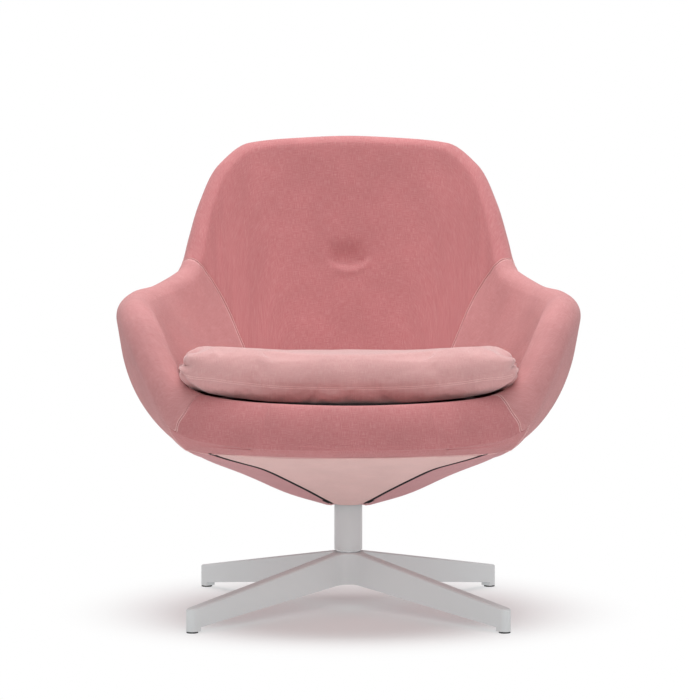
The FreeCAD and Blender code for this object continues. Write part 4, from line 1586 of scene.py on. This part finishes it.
@dataclass(frozen=True)
class Tuft:
    """Sewn tuft of the back: a soft hollow with a sharper lower lip, in millimetres over its centre."""

    height: float = 592.0
    foreshortening: float = 0.93
    inner_course: float = 4.5
    lip_drop: float = 13.0
    lip_rise: float = 11.0
    lip_reach: float = 36.0
    hollow_rise: tuple = (42, -6)
    lip_edge: tuple = (-6, 1)
    half_width: float = 33.0
    depth: float = 10.2
    swell: float = 2.6
    swell_drop: float = 11.0
    swell_size: tuple = (7, 26)
    dish: float = 1.5
    dish_radius: float = 48.0
    spoke: float = 0.35
    spoke_count: int = 7
    spoke_turn: float = 0.6
    spoke_ring: tuple = (34, 16)

    def skin(self, points: Array, normals: Array, places: Array) -> Array:
        """Back skin drawn in by the tuft.

        Args:
            points: places on the skin, in metres.
            normals: outward normals there.
            places: azimuth and course of each point.

        Returns:
            The moved points.
        """
        x = points[..., 0] / MM
        rise = (points[..., 2] / MM - self.height) / self.foreshortening
        inside = places[..., 1] > self.inner_course
        radius = np.hypot(x, rise)
        over_lip = rise + self.lip_drop - self.lip_rise * (x / self.lip_reach) ** 2
        hollow = smooth_step(*self.hollow_rise, rise) * smooth_step(*self.lip_edge, over_lip)
        hollow = hollow * np.exp(-((x / self.half_width) ** 4))
        tall, wide = self.swell_size
        swell = bump(over_lip, -self.swell_drop, tall) * bump(x, 0, wide)
        depth = self.depth * hollow - self.swell * swell + self.dish * bump(radius, 0, self.dish_radius)
        turn = np.arctan2(rise, x) * self.spoke_count + self.spoke_turn
        spokes = self.spoke * np.cos(turn) * bump(radius, *self.spoke_ring)
        return points - normals * ((depth + spokes) * inside * MM)[..., None]


@dataclass
class Chair:
    """The whole chair: covers, zips, cushion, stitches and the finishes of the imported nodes."""

    wardrobe: Wardrobe
    form: BucketForm = field(default_factory=BucketForm)
    plan: SeamPlan = field(default_factory=SeamPlan)
    side_seam: float = 124.0
    tuck: float = 0.0045
    unevenness: float = 0.0007

    FINISHES: ClassVar[dict[str, tuple]] = {
        "powder_coat": ("star_base", "column_tube"),
        "glide_plastic": ("glide_front_left", "glide_front_right", "glide_rear_left", "glide_rear_right"),
        "turned_steel": ("spindle", "lower_thrust_washer", "upper_thrust_washer"),
        "zinc_steel": ("spindle_bolt", "bolt_washer", "retaining_clip", "plate_screws", "pan_inserts"),
        "frame_steel": ("mounting_plate", "seat_pan", "arm_front_rib_left", "arm_front_rib_right",
                        "arm_rear_rib_left", "arm_rear_rib_right", "wing_rib_left", "wing_rib_right",
                        "back_side_rib_left", "back_side_rib_right", "back_centre_rib", "rim_bar"),
        "bearing_nylon": ("lower_bush", "upper_bush"),
        "zip_plastic": ("tuft_button",),
        "twine": ("tuft_twine",),
    }

    def dish(self, points: Array, normals: Array, _: Array) -> Array:
        """Skin with the faint unevenness of hand-drawn upholstery.

        Args:
            points: places on the skin, in metres.
            normals: outward normals there.

        Returns:
            The moved points.
        """
        x, y, z = points[..., 0], points[..., 1], points[..., 2]
        wave = np.sin(x * 21 + 1.0) * np.sin(y * 17 + z * 23) + 0.5 * np.sin(y * 47 + z * 31)
        return points - normals * (wave * self.unevenness)[..., None]

    def place(
        self, obj: bpy.types.Object, finish: str, slot: str, body: Body, *nodes: str
    ) -> bpy.types.Object:
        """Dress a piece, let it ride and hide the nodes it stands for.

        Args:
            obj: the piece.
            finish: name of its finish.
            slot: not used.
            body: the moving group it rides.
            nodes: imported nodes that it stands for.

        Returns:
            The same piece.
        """
        obj.data.materials.clear()
        obj.data.materials.append(self.wardrobe.get(finish))
        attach(obj, body.value)
        if nodes:
            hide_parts(*nodes)
        LOG.info("%s in %s, on body %s", obj.name, finish, body.value)
        return obj

    def covers(self, zips: Zips) -> None:
        """Every sewn cover of the bucket, with the zips between two of them.

        Args:
            zips: the zips' course and sizes.
        """
        form, plan = self.form, self.plan
        foot = constant(TOP_COURSE)
        below = (constant(0.0), plan.under_rim)
        seam = constant(self.side_seam)
        apron = Panel(form, "apron_cover", mirrored(plan.mitre), plan.mitre, plan.rim, foot, 190, 90)
        self.place(apron.build(self.dish), "pink_cloth", "pink_weave", Body.SEAT, "apron_pad")
        for side in Side:
            edges = (plan.mitre, plan.back)
            under = (zips.line, seam)
            if side is Side.RIGHT:
                edges = tuple(mirrored(edge) for edge in reversed(edges))
                under = tuple(mirrored(edge) for edge in reversed(under))
            arm = Panel(form, "arm_cover_" + side.word, *edges, plan.rim, foot, 150, 120)
            self.place(arm.build(self.dish), "pink_cloth_arm", "pink_weave", Body.SEAT,
                                 "arm_pad_" + side.word)
            outer = Panel(form, "outer_cover_" + side.word, *under, *below, 130, 90, tucked=self.tuck)
            self.place(outer.build(self.dish), "pink_cloth_outer", "pink_weave", Body.SEAT)
            self.place(zips.tape(side), "zip_tape", "zip_black", Body.SEAT, "zip_" + side.word)
            self.place(zips.slider(side), "zip_plastic", "zip_black", Body.SEAT, "zip_slider_" + side.word)
        back = Panel(form, "back_cover", plan.back, mirrored(plan.back, 360.0), plan.rim, foot, 240, 190)
        self.place(back.build(Tuft().skin), "pink_cloth", "pink_weave", Body.SEAT, "back_pad")
        behind = (seam, mirrored(seam, 360.0))
        rear = Panel(form, "rear_outer_cover", *behind, *below, 120, 130, tucked=self.tuck)
        self.place(rear.build(self.dish), "pink_cloth", "pink_weave", Body.SEAT, "rear_underside_cover")
        ahead = (mirrored(zips.line), zips.line)
        front = Panel(form, "front_underside", *ahead, *below, 110, 90, tucked=self.tuck)
        self.place(front.build(), "pink_cloth_light", "pink_weave", Body.SEAT, "front_underside_cover")
        self.place(Deck(form).build(), "deck_cloth", "deck_lining", Body.SEAT, "deck_cover", "seat_pad")

    def sewing(self, zips: Zips, cushion: bpy.types.Object, shell: Cushion) -> None:
        """Stitches along every seam, and the teeth of the zips.

        Args:
            zips: the zips' course and sizes.
            cushion: the finished cushion.
            shell: the cushion's sizes and seams.
        """
        repeater = Repeater(repeat_group())
        thread = self.wardrobe.get("thread")
        rows = (("seat_stitches", Seams(self.form, self.plan).rows(), SEAT_STITCH, Body.SEAT),
                ("cushion_stitches", shell.stitch_rows(cushion), CUSHION_STITCH, Body.CUSHION))
        for name, lines, stitch, body in rows:
            self.place(repeater.lay(name, lines, stitch, thread), "thread", "pink_weave", body)
        runs = []
        for side in Side:
            points, across, _ = zips.path(side, zips.tooth_steps, -zips.tooth_rise)
            for half in (-1.0, 1.0):
                runs.append(points + across * half * zips.tooth_away)
        teeth = repeater.lay("zip_teeth", runs, ZIP_TOOTH, self.wardrobe.get("zip_plastic"))
        self.place(teeth, "zip_plastic", "zip_black", Body.SEAT)

    def build(self) -> None:
        """Make every piece and dress every node that stays."""
        nodes = frame["nodes"]
        zips = Zips(self.form)
        self.covers(zips)
        shell = Cushion()
        cushion = shell.build(self.form)
        self.sewing(zips, cushion, shell)
        self.place(cushion, "pink_cloth_cushion", "pink_weave", Body.CUSHION, "cushion_cover", "cushion_core")
        for finish, names in self.FINISHES.items():
            for name in names:
                self.wardrobe.dress(nodes[name], finish)
                LOG.info("%s in %s", name, finish)


def main() -> None:
    """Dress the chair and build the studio."""
    logging.basicConfig(level=logging.INFO)
    wardrobe = Wardrobe()
    wardrobe.fill()
    Chair(wardrobe).build()
    Studio().build()


if __name__ == "__main__":
    main()
